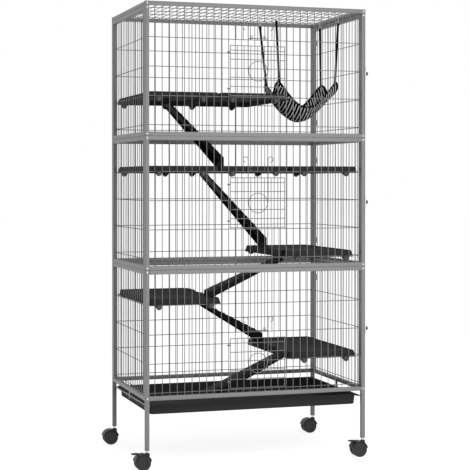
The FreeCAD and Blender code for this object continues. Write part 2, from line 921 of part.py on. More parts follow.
def caster_body(sx, sy, braked):
    axis = leg_axis(sx, sy)
    hub = Vector(-caster_trail, 0, wheel_radius)
    span = web_width + 2 * wheel_gap + 2 * wheel_width
    y0, across = -span / 2, Vector(0, 1, 0)
    dome = Part.makeCylinder(hood_radius(), span, hub + Vector(0, y0, 0), across)
    pocket = Part.makeCylinder(wheel_radius + hood_gap, span, hub + Vector(0, y0, 0), across)
    web = Part.makeCylinder(hood_radius(), web_width, hub + Vector(0, -web_width / 2, 0), across)
    cut_z = wheel_radius + hood_start
    reach = hood_radius() * 2
    lower = block(hub + Vector(-reach, -reach, -reach), Vector(hub.x + reach, reach, cut_z))
    shell = dome.cut(pocket).cut(lower)
    arm = block(
        hub + Vector(-axle * 2, -web_width / 2, -axle * 3 / 2),
        hub + Vector(axle * 2, web_width / 2, hood_start),
    )
    body = shell.fuse(web.cut(lower)).fuse(arm)
    neck_top = caster_height - neck_gap
    neck = Part.makeCylinder(neck_radius, neck_top - cut_z, Vector(0, 0, cut_z))
    neck = neck.cut(pocket.cut(block(
        hub + Vector(-reach, -web_width / 2, -reach), hub + Vector(reach, web_width / 2, reach))))
    body = body.fuse(neck)
    post = Part.makeCylinder(stem / 2, caster_height + stem_reach - cut_z - hood_start, Vector(0, 0, cut_z + hood_start))
    body = body.fuse(post)
    bore = Part.makeCylinder(axle / 2 + axle_clearance, span, hub + Vector(0, y0, 0), across)
    body = body.cut(bore)
    if braked:
        pivot = brake_pivot()
        gap = brake_width / 2 + brake_ear_gap
        for side in (-1, 1):
            start = pivot + Vector(0, side * gap, 0)
            ear = Part.makeCylinder(brake_ear_radius, brake_ear, start, Vector(0, side, 0))
            foot = block(
                start + Vector(-brake_ear_radius, 0, -brake_hub_radius * 3),
                start + Vector(brake_ear_radius, side * brake_ear, 0),
            )
            body = body.fuse(ear).fuse(foot.cut(pocket))
        length = 2 * gap + 2 * brake_ear
        pin_rod = Part.makeCylinder(brake_pin / 2, length, pivot + Vector(0, -length / 2, 0), across)
        body = body.fuse(pin_rod)
    body = body.removeSplitter()
    body.translate(axis)
    return body


def caster_wheels(sx, sy):
    axis = leg_axis(sx, sy)
    hub = Vector(-caster_trail, 0, wheel_radius)
    across = Vector(0, 1, 0)
    span = web_width + 2 * wheel_gap + 2 * wheel_width
    body = Part.makeCylinder(axle / 2, span - 2 * wheel_hub_recess, hub + Vector(0, wheel_hub_recess - span / 2, 0), across)
    for side in (-1, 1):
        start = hub + Vector(0, side * (web_width / 2 + wheel_gap), 0)
        facing = Vector(0, side, 0)
        disc = Part.makeCylinder(wheel_radius, wheel_width, start, facing)
        dish = Part.makeCylinder(
            wheel_hub_radius, wheel_hub_recess, start + facing * (wheel_width - wheel_hub_recess), facing)
        body = body.fuse(disc.cut(dish))
    body = body.removeSplitter()
    body.translate(axis)
    return body


def brake_lever(sx, sy):
    pivot = brake_pivot()
    across = Vector(0, 1, 0)
    start = pivot + Vector(0, -brake_width / 2, 0)
    hub = Part.makeCylinder(brake_hub_radius, brake_width, start, across)
    tab = block(
        pivot + Vector(-brake_length, -brake_width / 2, -brake_tab_drop),
        pivot + Vector(0, brake_width / 2, brake_thickness - brake_tab_drop),
    )
    bore = Part.makeCylinder(brake_pin / 2 + brake_pin_clearance, brake_width, start, across)
    body = hub.fuse(tab).cut(bore)
    body.translate(leg_axis(sx, sy))
    return body


def frame_screws():
    levels = [sections["lower"][0] + tube / 2, top_z - tube / 2, top_z - section_seam - tube * 3 / 2]
    levels += [sections[name][1] + section_seam / 2 + side * tube / 2 for name in names[:2] for side in (-1, 1)]
    solids = []
    for sx, sy in legs.values():
        axis = leg_axis(sx, sy)
        for z in levels:
            start = Vector(axis.x, sy * half_depth, z)
            solids.append(Part.makeCylinder(screw_radius, screw_head, start, Vector(0, sy, 0)))
    for name in names:
        x = half_width
        start = Vector(x, -half_depth + tube / 2, latch_height(name))
        length = turn_standoff + turn_thickness - weld_gap
        solids.append(Part.makeCylinder(turn_stud / 2, length, start, Vector(1, 0, 0)))
    return Part.makeCompound(solids)


def nodes():
    out = {}
    for name in names:
        out["front_panel_" + name] = front_panel(name)
        out["rear_panel_" + name] = rear_panel(name)
        out["left_panel_" + name] = left_panel(name)
        out["side_door_" + name] = side_door(name)
        out["side_latch_" + name] = side_latch(name)
        out["side_latch_knob_" + name] = side_latch_knob(name)
        out["front_door_" + name] = front_door(name)
        out["front_latch_" + name] = front_latch(name)
    out["side_door_hinges"] = side_door_hinges()
    out["top_mesh"] = top_mesh()
    for name, (x_centre, level, gaps) in shelf_plan.items():
        out[name] = shelf_module(x_centre, level, gaps, shelf_holes.get(name))
    out["shelf_knobs"] = shelf_knobs()
    out.update(ramps())
    out["tray"] = tray()
    out["tray_runner_left"] = tray_runner(-1)
    out["tray_runner_right"] = tray_runner(1)
    out["hammock_cloth"] = hammock_cloth()
    out["hammock_straps"] = hammock_straps()
    out["hammock_hooks"] = hammock_hooks()
    out["leg_plugs"] = leg_plugs()
    for name, (sx, sy) in legs.items():
        out["caster_body_" + name] = caster_body(sx, sy, sy < 0)
        out["caster_wheels_" + name] = caster_wheels(sx, sy)
        if sy < 0:
            out["caster_brake_" + name] = brake_lever(sx, sy)
    out["frame_screws"] = frame_screws()
    return out


os.makedirs("parts", exist_ok=True)
for node, shape in nodes().items():
    shape.exportStep("parts/" + node + ".step")
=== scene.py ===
"""Looks of a tall wheeled small animal cage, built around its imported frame.

Lengths are metres, or millimetres where the text beside them says so. The frame
stands on the floor plane, the front faces -Y and +Z is up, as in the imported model.
"""

from __future__ import annotations

import itertools
import logging
import math
from dataclasses import dataclass
from enum import Enum
from typing import Sequence

import bpy
import numpy as np
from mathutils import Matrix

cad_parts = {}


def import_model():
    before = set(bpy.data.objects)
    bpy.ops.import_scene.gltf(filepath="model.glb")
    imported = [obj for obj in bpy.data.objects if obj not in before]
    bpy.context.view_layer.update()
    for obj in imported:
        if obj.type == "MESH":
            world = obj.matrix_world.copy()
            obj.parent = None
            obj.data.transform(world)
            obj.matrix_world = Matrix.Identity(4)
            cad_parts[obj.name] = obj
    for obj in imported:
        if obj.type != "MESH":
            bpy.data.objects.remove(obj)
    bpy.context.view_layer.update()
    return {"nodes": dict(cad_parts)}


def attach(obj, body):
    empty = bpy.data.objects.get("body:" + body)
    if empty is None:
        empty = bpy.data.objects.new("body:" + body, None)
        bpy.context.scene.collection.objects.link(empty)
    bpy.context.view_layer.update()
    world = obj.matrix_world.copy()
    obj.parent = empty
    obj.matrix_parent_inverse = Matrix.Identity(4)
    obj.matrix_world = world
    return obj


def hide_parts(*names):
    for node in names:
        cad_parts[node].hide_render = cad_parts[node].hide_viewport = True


LOG = logging.getLogger("cage")
MM = 0.001
SIGNS = (-1, 1)
X_AXIS = (1, 0, 0)
Y_AXIS = (0, 1, 0)
Z_AXIS = (0, 0, 1)
Array = np.ndarray
Vector = Sequence[float]
Colour = tuple[float, float, float]

# Cross wires and small front door of a section, in mm
ROW_COUNT = 4
ROW_FIRST = 120.0
ROW_PITCH = 98.6
DOOR_SILL_GAP = 3.2
DOOR_HEAD_GAP = 20.0


class Section(Enum):
    """The three stacked frames of the cage, with their lower and upper heights in mm."""

    LOWER = ("lower", 233.0, 673.0)
    MIDDLE = ("middle", 673.5, 1126.5)
    UPPER = ("upper", 1127.0, 1580.0)

    @property
    def label(self) -> str:
        """Name of the section as the nodes spell it."""
        return self.value[0]

    @property
    def low(self) -> float:
        """Lower edge in metres."""
        return self.value[1] * MM

    @property
    def high(self) -> float:
        """Upper edge in metres."""
        return self.value[2] * MM

    @property
    def middle(self) -> float:
        """Height halfway between the edges."""
        return (self.low + self.high) / 2

    def rows(self) -> list[float]:
        """Heights of the cross wires, counted from the top."""
        return [self.high - (ROW_FIRST + ROW_PITCH * i) * MM for i in range(ROW_COUNT)]

    def door_rows(self) -> list[float]:
        """Heights of the head, middle and sill wires of the small front door's opening."""
        first = 1 if self is Section.LOWER else 0
        return self.rows()[first:first + 3]

    def door_span(self) -> tuple[float, float]:
        """Lower and upper edge of the small front door."""
        head, _, sill = self.door_rows()
        return sill + DOOR_SILL_GAP * MM, head - DOOR_HEAD_GAP * MM


class Side(Enum):
    """The four upright walls of the cage."""

    FRONT = "front"
    REAR = "rear"
    LEFT = "left"
    RIGHT = "right"


@dataclass(frozen=True)
class CageSizes:
    """Sizes that several pieces share."""

    half_width: float = 0.400
    half_depth: float = 0.254
    tube: float = 0.014
    wire: float = 0.0026
    wire_margin: float = 0.034
    columns_half: int = 14
    side_columns: int = 16
    door_columns: int = 4
    weld_gap: float = 0.0001
    leg_foot: float = 0.065
    roof_seam: float = 0.0005

    @property
    def inner_half_width(self) -> float:
        """Half the clear width between the front stiles."""
        return self.half_width - self.tube

    @property
    def inner_half_depth(self) -> float:
        """Half the clear depth between front and rear frames."""
        return self.half_depth - self.tube

    @property
    def post_x(self) -> float:
        """Distance of a post's middle from the cage's middle across the width."""
        return self.half_width - self.tube / 2

    @property
    def post_y(self) -> float:
        """Distance of a post's middle from the cage's middle along the depth."""
        return self.half_depth - self.tube / 2

    @property
    def wire_radius(self) -> float:
        """Radius of the wall wires."""
        return self.wire / 2

    @property
    def pitch(self) -> float:
        """Distance between upright wires on the front and rear."""
        return (self.half_width - self.wire_margin) / self.columns_half

    @property
    def opening_half(self) -> float:
        """Half the width of the small door's opening."""
        return self.door_columns * self.pitch

    def columns(self) -> Array:
        """Places of the upright wires across the width."""
        return self.pitch * np.arange(-self.columns_half, self.columns_half + 1)

    def side_columns_at(self, half_span: float) -> Array:
        """Places of the upright wires across a side frame.

        Args:
            half_span: half the side frame's outer length.

        Returns:
            One place per wire along the depth.
        """
        inner = half_span - self.tube
        step = 2 * inner / (self.side_columns + 1)
        return -inner + step * np.arange(1, self.side_columns + 1)


SIZES = CageSizes()
ROOF_Z = Section.UPPER.high - SIZES.tube / 2


# Meshes


class Shell:
    """Collects surfaces of one piece before they become a mesh."""

    def __init__(self) -> None:
        """Start with no surfaces."""
        self.verts: list[Array] = []
        self.faces: list[Array] = []
        self.finish: list[Array] = []
        self.uv: list[Array] = []
        self.count = 0

    def add(self, verts: Array, faces: Sequence[Array], finish: int = 0, uv: Array | None = None) -> None:
        """Add one surface.

        Args:
            verts: points, one row each.
            faces: blocks of faces, with one row of corner numbers per face, counted in verts.
            finish: which of the piece's materials the faces take.
            uv: one pair per point for a pattern that follows the surface.
        """
        verts = np.asarray(verts, dtype=float).reshape(-1, 3)
        self.verts.append(verts)
        for block in faces:
            self.faces.append(block + self.count)
            self.finish.append(np.full(len(block), finish, dtype=np.int32))
        self.uv.append(np.zeros((len(verts), 2)) if uv is None else uv)
        self.count += len(verts)

    def loft(self, rings: Array, closed: bool = False, caps: bool = True, finish: int = 0) -> None:
        """Join a stack of rings with quads, each ring running round the same way.

        The flat lengths of the surface are the way from ring to ring and the way round the first ring.

        Args:
            rings: array of rings, points and coordinates.
            closed: join the last ring to the first, as on a ring handle.
            caps: close both ends with one face each.
            finish: which of the piece's materials the faces take.
        """
        along, around = walked(rings.mean(axis=1)), walked(rings[0])
        flat = np.stack(np.broadcast_arrays(along[:, None], around[None, :]), axis=-1).reshape(-1, 2)
        self.add(rings, ring_faces(rings.shape[0], rings.shape[1], closed, caps), finish, flat)

    def build(
        self, name: str, materials: Sequence[bpy.types.Material], sharp: float = 35.0,
    ) -> bpy.types.Object:
        """Make the mesh object, smooth where neighbouring faces turn by less than the given angle.

        Args:
            name: the piece's name.
            materials: its materials, in the order of the finish numbers.
            sharp: edges that turn by more degrees than this stay crisp.

        Returns:
            The linked object.
        """
        mesh = bpy.data.meshes.new(name)
        faces = itertools.chain.from_iterable(block.tolist() for block in self.faces)
        mesh.from_pydata(np.concatenate(self.verts).tolist(), [], list(faces))
        mesh.polygons.foreach_set("material_index", np.concatenate(self.finish))
        for material in materials:
            mesh.materials.append(material)
        layer = mesh.uv_layers.new(name="flat")
        corner = np.empty(len(mesh.loops), dtype=np.int32)
        mesh.loops.foreach_get("vertex_index", corner)
        layer.data.foreach_set("uv", np.concatenate(self.uv)[corner].ravel())
        mesh.shade_smooth()
        mesh.set_sharp_from_angle(angle=math.radians(sharp))
        mesh.validate()
        mesh.update()
        item = bpy.data.objects.new(name, mesh)
        bpy.context.scene.collection.objects.link(item)
        return item


def points(x: Array | float, y: Array | float, z: Array | float) -> Array:
    """Rows of coordinates, with a single number repeated for every row."""
    return np.stack(np.broadcast_arrays(x, y, z), axis=-1)


def unit(vectors: Array) -> Array:
    """Vectors divided by their lengths."""
    return vectors / np.linalg.norm(vectors, axis=-1, keepdims=True)


def walked(path: Array) -> Array:
    """Length of a path up to each of its points."""
    return np.concatenate([[0.0], np.cumsum(np.linalg.norm(np.diff(path, axis=0), axis=1))])


def ring_faces(count: int, around: int, closed: bool, caps: bool) -> list[Array]:
    """Quads between neighbouring rings, with a face over each end.

    Args:
        count: number of rings.
        around: points in a ring.
        closed: join the last ring to the first.
        caps: close both ends.

    Returns:
        Blocks of corner numbers, one row per face.
    """
    first = np.arange(count if closed else count - 1)[:, None] * around
    second = (first + around) % (count * around)
    here = np.arange(around)[None, :]
    following = (here + 1) % around
    corners = [first + here, first + following, second + following, second + here]
    quads = np.stack(corners, axis=-1).reshape(-1, 4)
    if closed or not caps:
        return [quads]
    return [quads, here[:, ::-1], here + (count - 1) * around]


def arc(start: float, end: float, count: int, radius: float = 1.0) -> Array:
    """Points of an arc: cosine and sine of even steps between two angles, times the radius."""
    angle = np.linspace(start, end, count)
    return radius * np.stack([np.cos(angle), np.sin(angle)], axis=1)


def circle(sides: int, radius: float = 1.0) -> Array:
    """Points of a circle: cosine and sine of even steps, times the radius."""
    angle = np.arange(sides) * (2 * math.pi / sides)
    return radius * np.stack([np.cos(angle), np.sin(angle)], axis=1)


def upright_circle(centre: Vector, radius: float, sides: int) -> Array:
    """Points of a circle that faces the front.

    Args:
        centre: middle of the circle.
        radius: its radius.
        sides: number of points.

    Returns:
        Points in turn.
    """
    loop = circle(sides, radius)
    return points(centre[0] + loop[:, 0], centre[1], centre[2] + loop[:, 1])


def rounded_rectangle(half_x: float, half_y: float, radius: float, steps: int = 4) -> Array:
    """Outline of a rectangle whose corners are quarter circles.

    Args:
        half_x: half the size along the first axis.
        half_y: half the size along the second axis.
        radius: corner radius.
        steps: chords per corner.

    Returns:
        Points in turn, against the clock.
    """
    turn = np.linspace(0, math.pi / 2, steps + 1)
    angle = (turn[None, :] + np.arange(4)[:, None] * (math.pi / 2)).ravel()
    hub_x = np.repeat(np.array([1, -1, -1, 1]) * (half_x - radius), steps + 1)
    hub_y = np.repeat(np.array([1, 1, -1, -1]) * (half_y - radius), steps + 1)
    return np.stack([hub_x + radius * np.cos(angle), hub_y + radius * np.sin(angle)], axis=1)


def against_clock(outline: Array) -> Array:
    """The outline in the order whose enclosed area counts as positive."""
    x, y = outline.T
    area = np.sum(x * np.roll(y, -1) - y * np.roll(x, -1))
    return outline if area > 0 else outline[::-1]


def basis(direction: Array) -> tuple[Array, Array]:
    """Two unit vectors square to a direction and to each other, right-handed with it.

    Args:
        direction: vectors, one row each.

    Returns:
        The two sets of vectors.
    """
    direction = unit(direction)
    upright_share = 0.9
    helper = np.where(np.abs(direction[..., 2:3]) > upright_share, np.array(X_AXIS), np.array(Z_AXIS))
    first = unit(np.cross(helper, direction))
    return first, np.cross(direction, first)


def sweep(path: Array, plan: Array, first: Array | Vector, second: Array | Vector) -> Array:
    """A section carried along a path.

    Each ring is a point of the path plus the section's coordinates times two directions.

    Args:
        path: the path, or one point where the directions alone change.
        plan: points of the section.
        first: direction of the section's first coordinate, for all rings or one per ring.
        second: direction of its second coordinate.

    Returns:
        The rings.
    """
    path, first, second = np.atleast_2d(path), np.atleast_2d(first), np.atleast_2d(second)
    return path[:, None] + plan[None, :, :1] * first[:, None] + plan[None, :, 1:] * second[:, None]


def add_rods(
    shell: Shell, starts: Array | Vector, ends: Array | Vector, radius: float,
    sides: int = 8, finish: int = 0,
) -> None:
    """Straight round wires: a circle carried from each start to each end, with a small end chamfer.

    Args:
        shell: where the surfaces go.
        starts: first end of each wire.
        ends: second end of each wire.
        radius: wire radius.
        sides: flats round the wire.
        finish: material number.
    """
    chamfer_share = 0.3
    ease = chamfer_share * radius
    starts, ends = np.atleast_2d(starts), np.atleast_2d(ends)
    ring = circle(sides)
    for a, b, p, q in zip(starts, ends, *basis(ends - starts)):
        along = unit(b - a)
        spokes = ring[:, :1] * p + ring[:, 1:] * q
        rings = np.stack([
            a + spokes * (radius - ease),
            a + along * ease + spokes * radius,
            b - along * ease + spokes * radius,
            b + spokes * (radius - ease),
        ])
        shell.loft(rings, finish=finish)


def add_path(
    shell: Shell, path: Array, radius: float, sides: int = 10, closed: bool = False, finish: int = 0,
) -> None:
    """A round wire that follows a path in an upright plane that faces the front.

    The circle at each point is spanned by the depth and by the direction square
    to the path in its plane.

    Args:
        shell: where the surfaces go.
        path: points of the path.
        radius: wire radius.
        sides: flats round the wire.
        closed: the path is a loop.
        finish: material number.
    """
    if closed:
        tangent = unit(np.roll(path, -1, axis=0) - np.roll(path, 1, axis=0))
    else:
        tangent = unit(np.gradient(path, axis=0))
    across = unit(np.cross(Y_AXIS, tangent))
    rings = sweep(path, circle(sides, radius), across, np.cross(tangent, across))
    shell.loft(rings, closed=closed, finish=finish)


def add_bar(shell: Shell, start: Vector, end: Vector, size: float, corner: float) -> None:
    """A square tube with rounded corners and eased ends, along one axis.

    Args:
        shell: where the surfaces go.
        start: middle of the first end.
        end: middle of the second end.
        size: outer size of the square.
        corner: outer corner radius.
    """
    ease_share = 0.25
    ease = ease_share * corner
    start, end = np.asarray(start, dtype=float), np.asarray(end, dtype=float)
    along = unit(end - start)
    first, second = basis(along[None, :])
    rings = []
    for point, shrink in ((start, ease), (start + along * ease, 0), (end - along * ease, 0), (end, ease)):
        outline = rounded_rectangle(size / 2 - shrink, size / 2 - shrink, corner, 3)
        rings.append(point + outline[:, :1] * first + outline[:, 1:] * second)
    shell.loft(np.stack(rings))


def add_lathe(
    shell: Shell, profile: Array | Sequence[Vector], centre: Vector, axis: Vector, sides: int,
    closed: bool = False, finish: int = 0,
) -> None:
    """A turned shape: each profile point is a radius and a height along the axis, carried round it.

    Args:
        shell: where the surfaces go.
        profile: radius and height pairs in order.
        centre: where height zero lies.
        axis: unit direction of the axis.
        sides: steps round the axis.
        closed: the profile runs back to its start, as on a ring with a bore.
        finish: material number.
    """
    axis = np.asarray(axis, dtype=float)
    first, second = basis(axis[None, :])
    ring = circle(sides)
    spokes = ring[:, :1] * first + ring[:, 1:] * second
    pairs = np.asarray(profile, dtype=float)
    rings = np.asarray(centre, dtype=float) + pairs[:, :1, None] * spokes[None] + pairs[:, 1:, None] * axis
    shell.loft(rings, closed=closed, finish=finish)


def add_prism(
    shell: Shell, outline: Array, origin: Vector, depth: float, ease: float, first: Vector = X_AXIS,
) -> None:
    """An upright plate cut to an outline, with both its edges eased.

    The outline runs against the clock in the plane of the first direction and
    of +Z, and the plate grows along their cross product.

    Args:
        shell: where the surfaces go.
        outline: points in the plate's own plane.
        origin: where the plane's zero lies.
        depth: plate thickness.
        ease: width of the eased edge.
        first: unit direction of the first coordinate.
    """
    first, second = np.asarray(first, dtype=float), np.asarray(Z_AXIS, dtype=float)
    out = np.cross(first, second)
    middle = outline.mean(axis=0)
    reach = np.abs(outline - middle).max()
    inner = middle + (outline - middle) * (1 - ease / reach)
    rings = []
    for plan, height in ((inner, 0), (outline, ease), (outline, depth - ease), (inner, depth)):
        rings.append(np.asarray(origin) + plan[:, :1] * first + plan[:, 1:] * second + out * height)
    shell.loft(np.stack(rings))


# Finishes


class Nodes:
    """Short ways to add and wire nodes in one tree."""

    def __init__(self, tree: bpy.types.NodeTree) -> None:
        """Keep the tree."""
        self.tree = tree

    def feed(self, target: bpy.types.NodeSocket, value: object) -> None:
        """Wire a socket to another one, or give it a plain value.

        Args:
            target: the input to feed.
            value: an output socket, or a number, vector or colour.
        """
        if isinstance(value, bpy.types.NodeSocket):
            self.tree.links.new(value, target)
        else:
            target.default_value = value

    def feed_all(self, inputs: bpy.types.bpy_prop_collection, values: dict[str, object]) -> None:
        """Feed inputs by socket name, with underscores for spaces."""
        for key, value in values.items():
            self.feed(inputs[key.replace("_", " ")], value)

    def add(self, kind: str, settings: dict | None = None, **values: object) -> bpy.types.Node:
        """Add a node.

        Args:
            kind: node type.
            settings: node properties.
            values: what feeds its inputs, by socket name.

        Returns:
            The node.
        """
        node = self.tree.nodes.new(kind)
        for key, value in (settings or {}).items():
            setattr(node, key, value)
        self.feed_all(node.inputs, values)
        return node

    def math(self, operation: str, *operands: object) -> bpy.types.NodeSocket:
        """A math node on sockets or numbers.

        Args:
            operation: name of the operation.
            operands: its one or two sockets or numbers.

        Returns:
            The result's socket.
        """
        node = self.add("ShaderNodeMath", {"operation": operation})
        for target, value in zip(node.inputs, operands):
            self.feed(target, value)
        return node.outputs[0]

    def ramp(
        self, source: bpy.types.NodeSocket, low: float, high: float, to_low: float, to_high: float,
    ) -> bpy.types.NodeSocket:
        """Map a value from one range to another and clamp it.

        Args:
            source: socket to read.
            low: start of the range read.
            high: end of the range read.
            to_low: value at the start.
            to_high: value at the end.

        Returns:
            The mapped socket.
        """
        node = self.add(
            "ShaderNodeMapRange", Value=source, From_Min=low, From_Max=high, To_Min=to_low, To_Max=to_high)
        return node.outputs["Result"]

    def tint(self, factor: bpy.types.NodeSocket, a: object, b: object) -> bpy.types.NodeSocket:
        """Blend two colours by a factor.

        Args:
            factor: blend socket.
            a: colour with alpha, or socket, at 0.
            b: colour with alpha, or socket, at 1.

        Returns:
            The blended colour's socket.
        """
        node = self.add("ShaderNodeMix", {"data_type": "RGBA"}, Factor=factor)
        colours = [socket for socket in node.inputs if socket.type == "RGBA"]
        for socket, value in zip(colours, (a, b)):
            self.feed(socket, value)
        return next(socket for socket in node.outputs if socket.type == "RGBA")

    def seen(self) -> bpy.types.NodeSocket:
        """One for what the camera sees, straight, mirrored or through glass, and zero for other light."""
        rays = self.add("ShaderNodeLightPath").outputs
        direct = self.math("MAXIMUM", rays["Is Camera Ray"], rays["Is Transmission Ray"])
        return self.math("MAXIMUM", direct, rays["Is Glossy Ray"])


class MaterialNodes(Nodes):
    """The nodes of one new material, with its shader."""

    def __init__(self, name: str) -> None:
        """Make the material under the given name."""
        self.material = bpy.data.materials.new(name)
        self.material.use_nodes = True
        super().__init__(self.material.node_tree)
        self.shader = self.tree.nodes["Principled BSDF"]

    def dress(self, **values: object) -> None:
        """Feed the shader's own sockets by name."""
        self.feed_all(self.shader.inputs, values)

    def tilt(self, height: bpy.types.NodeSocket, strength: float, distance: float) -> bpy.types.NodeSocket:
        """Normal tilted by a height.

        Args:
            height: the height's socket.
            strength: share of the tilt that is kept.
            distance: depth that a height of one stands for.

        Returns:
            The normal's socket.
        """
        bump = self.add("ShaderNodeBump", Strength=strength, Distance=distance, Height=height)
        return bump.outputs["Normal"]


def start_group(
    name: str, inputs: dict[str, object], outputs: Sequence[str],
) -> tuple[Nodes, bpy.types.bpy_prop_collection, bpy.types.bpy_prop_collection]:
    """Start a shader node group, with a colour socket for Color and number sockets for the rest.

    Args:
        name: group name.
        inputs: name and default value of each input.
        outputs: name of each output.

    Returns:
        The group's nodes, the sockets that it is given and those that it puts out.
    """
    tree = bpy.data.node_groups.new(name, "ShaderNodeTree")
    kinds = {"Color": "NodeSocketColor"}
    for label, value in inputs.items():
        kind = kinds.get(label, "NodeSocketFloat")
        tree.interface.new_socket(label, in_out="INPUT", socket_type=kind).default_value = value
    for label in outputs:
        tree.interface.new_socket(label, in_out="OUTPUT", socket_type=kinds.get(label, "NodeSocketFloat"))
    given = tree.nodes.new("NodeGroupInput").outputs
    return Nodes(tree), given, tree.nodes.new("NodeGroupOutput").inputs


def surface_group() -> bpy.types.ShaderNodeTree:
    """Grain shared by paint and moulded plastic.

    Cells of a Voronoi texture make the dimples of hammered paint, a fine noise
    makes moulded grain, and a broad noise shifts colour and gloss a little. The
    colour is also painted darker in each dimple's hollow and lighter on its rim,
    as painted shade and highlight.

    Returns:
        The node group.
    """
    inputs = {
        "Color": (0.3, 0.3, 0.3, 1), "Cell Scale": 400.0, "Grain Scale": 1500.0, "Cell Share": 0.6,
        "Shift": 0.1, "Roughness": 0.4,
    }
    n, given, out = start_group("surface_grain", inputs, ("Color", "Roughness", "Height"))
    dimple_shade_share, mean_swing, gloss_share = 0.6, 0.6, 0.5
    place = n.add("ShaderNodeTexCoord").outputs["Object"]
    cells = n.add(
        "ShaderNodeTexVoronoi", {"feature": "SMOOTH_F1"},
        Vector=place, Scale=given["Cell Scale"], Smoothness=0.6)
    grain = n.add("ShaderNodeTexNoise", Vector=place, Scale=given["Grain Scale"], Detail=3.0, Roughness=0.6)
    broad = n.add("ShaderNodeTexNoise", Vector=place, Scale=9.0, Detail=4.0)
    dimple = n.math("MULTIPLY", cells.outputs["Distance"], given["Cell Share"])
    rest = n.math("SUBTRACT", 1.0, given["Cell Share"])
    n.feed(out["Height"], n.math("ADD", dimple, n.math("MULTIPLY", grain.outputs["Fac"], rest)))
    # Painted shade and highlight: the dimple height darkens the colour in the hollows and lightens it on the
    # rims, on top of the broad noise's random tone.
    swing = n.math("ADD", broad.outputs["Fac"], n.math("MULTIPLY", dimple, dimple_shade_share))
    swing = n.math("MULTIPLY", n.math("SUBTRACT", swing, mean_swing), given["Shift"])
    shade = n.add("ShaderNodeHueSaturation", Value=n.math("ADD", 1.0, swing), Color=given["Color"])
    n.feed(out["Color"], shade.outputs["Color"])
    n.feed(out["Roughness"], n.math("ADD", given["Roughness"], n.math("MULTIPLY", swing, gloss_share)))
    return n.tree


def brushed_group() -> bpy.types.ShaderNodeTree:
    """Fine scratches along Z: a noise stretched along that axis.

    Returns:
        The node group.
    """
    inputs = {"Color": (0.6, 0.6, 0.6, 1), "Roughness": 0.3}
    n, given, out = start_group("brushed_lines", inputs, ("Color", "Roughness", "Height"))
    low, high = 0.3, 0.7
    place = n.add("ShaderNodeTexCoord").outputs["Object"]
    stretch = n.add("ShaderNodeMapping", Vector=place, Scale=(1.0, 1.0, 0.06))
    noise = n.add("ShaderNodeTexNoise", Vector=stretch.outputs["Vector"], Scale=2600.0, Detail=2.0)
    lines = noise.outputs["Fac"]
    # Painted highlight and shade: the colour is lighter where the scratch lines stand high and darker where
    # they lie low.
    shade = n.add("ShaderNodeHueSaturation", Value=n.ramp(lines, low, high, 0.85, 1.1), Color=given["Color"])
    n.feed(out["Color"], shade.outputs["Color"])
    n.feed(out["Roughness"], n.math("ADD", given["Roughness"], n.ramp(lines, low, high, -0.08, 0.1)))
    n.feed(out["Height"], lines)
    return n.tree


def weave_group() -> bpy.types.ShaderNodeTree:
    """Plain weave from two crossed sine waves along the flat cloth's own lengths.

    Returns:
        The node group.
    """
    n, given, out = start_group("plain_weave", {"Thread": 0.0009}, ("Height", "Along", "Across"))
    flat = n.add("ShaderNodeUVMap", {"uv_map": "flat"})
    parts = n.add("ShaderNodeSeparateXYZ", Vector=flat.outputs["UV"]).outputs
    waves = []
    for axis, label in (("X", "Along"), ("Y", "Across")):
        turns = n.math("DIVIDE", n.math("MULTIPLY", parts[axis], 2 * math.pi), given["Thread"])
        waves.append(n.math("SINE", turns))
        n.feed(out[label], parts[axis])
    n.feed(out["Height"], n.math("MULTIPLY", *waves))
    return n.tree


@dataclass(frozen=True)
class Finish:
    """A paint with its grain."""

    name: str
    colour: Colour
    roughness: float
    cell_scale: float = 420.0
    grain_scale: float = 1600.0
    cell_share: float = 0.7
    shift: float = 0.12
    bump: float = 0.2
    depth: float = 0.0004
    coat: float = 0.0
    coat_roughness: float = 0.25
    specular: float = 0.5

    def make(self, grain: bpy.types.ShaderNodeTree) -> bpy.types.Material:
        """Make the material.

        Args:
            grain: the shared grain group.

        Returns:
            The material.
        """
        n = MaterialNodes(self.name)
        surface = n.add(
            "ShaderNodeGroup", {"node_tree": grain}, Color=(*self.colour, 1.0), Roughness=self.roughness,
            Cell_Scale=self.cell_scale, Grain_Scale=self.grain_scale, Cell_Share=self.cell_share,
            Shift=self.shift,
        ).outputs
        n.dress(
            Base_Color=surface["Color"], Roughness=surface["Roughness"],
            Normal=n.tilt(surface["Height"], self.bump, self.depth),
            Coat_Weight=self.coat, Coat_Roughness=self.coat_roughness, Specular_IOR_Level=self.specular)
        return n.material


@dataclass(frozen=True)
class Plastic(Finish):
    """A moulded plastic or rubber, with a finer and shallower grain than paint."""

    cell_scale: float = 900.0
    grain_scale: float = 2600.0
    cell_share: float = 0.3
    bump: float = 0.25
    depth: float = 0.0002


@dataclass(frozen=True)
class Steel:
    """Plated steel with fine lines."""

    name: str
    colour: Colour = (0.62, 0.63, 0.64)
    roughness: float = 0.32
    bump: float = 0.08
    depth: float = 0.0002

    def make(self, lines: bpy.types.ShaderNodeTree) -> bpy.types.Material:
        """Make the material.

        Args:
            lines: the shared brushed group.

        Returns:
            The material.
        """
        n = MaterialNodes(self.name)
        surface = n.add(
            "ShaderNodeGroup", {"node_tree": lines}, Color=(*self.colour, 1.0), Roughness=self.roughness,
        ).outputs
        n.dress(
            Base_Color=surface["Color"], Roughness=surface["Roughness"],
            Normal=n.tilt(surface["Height"], self.bump, self.depth), Metallic=1.0)
        return n.material


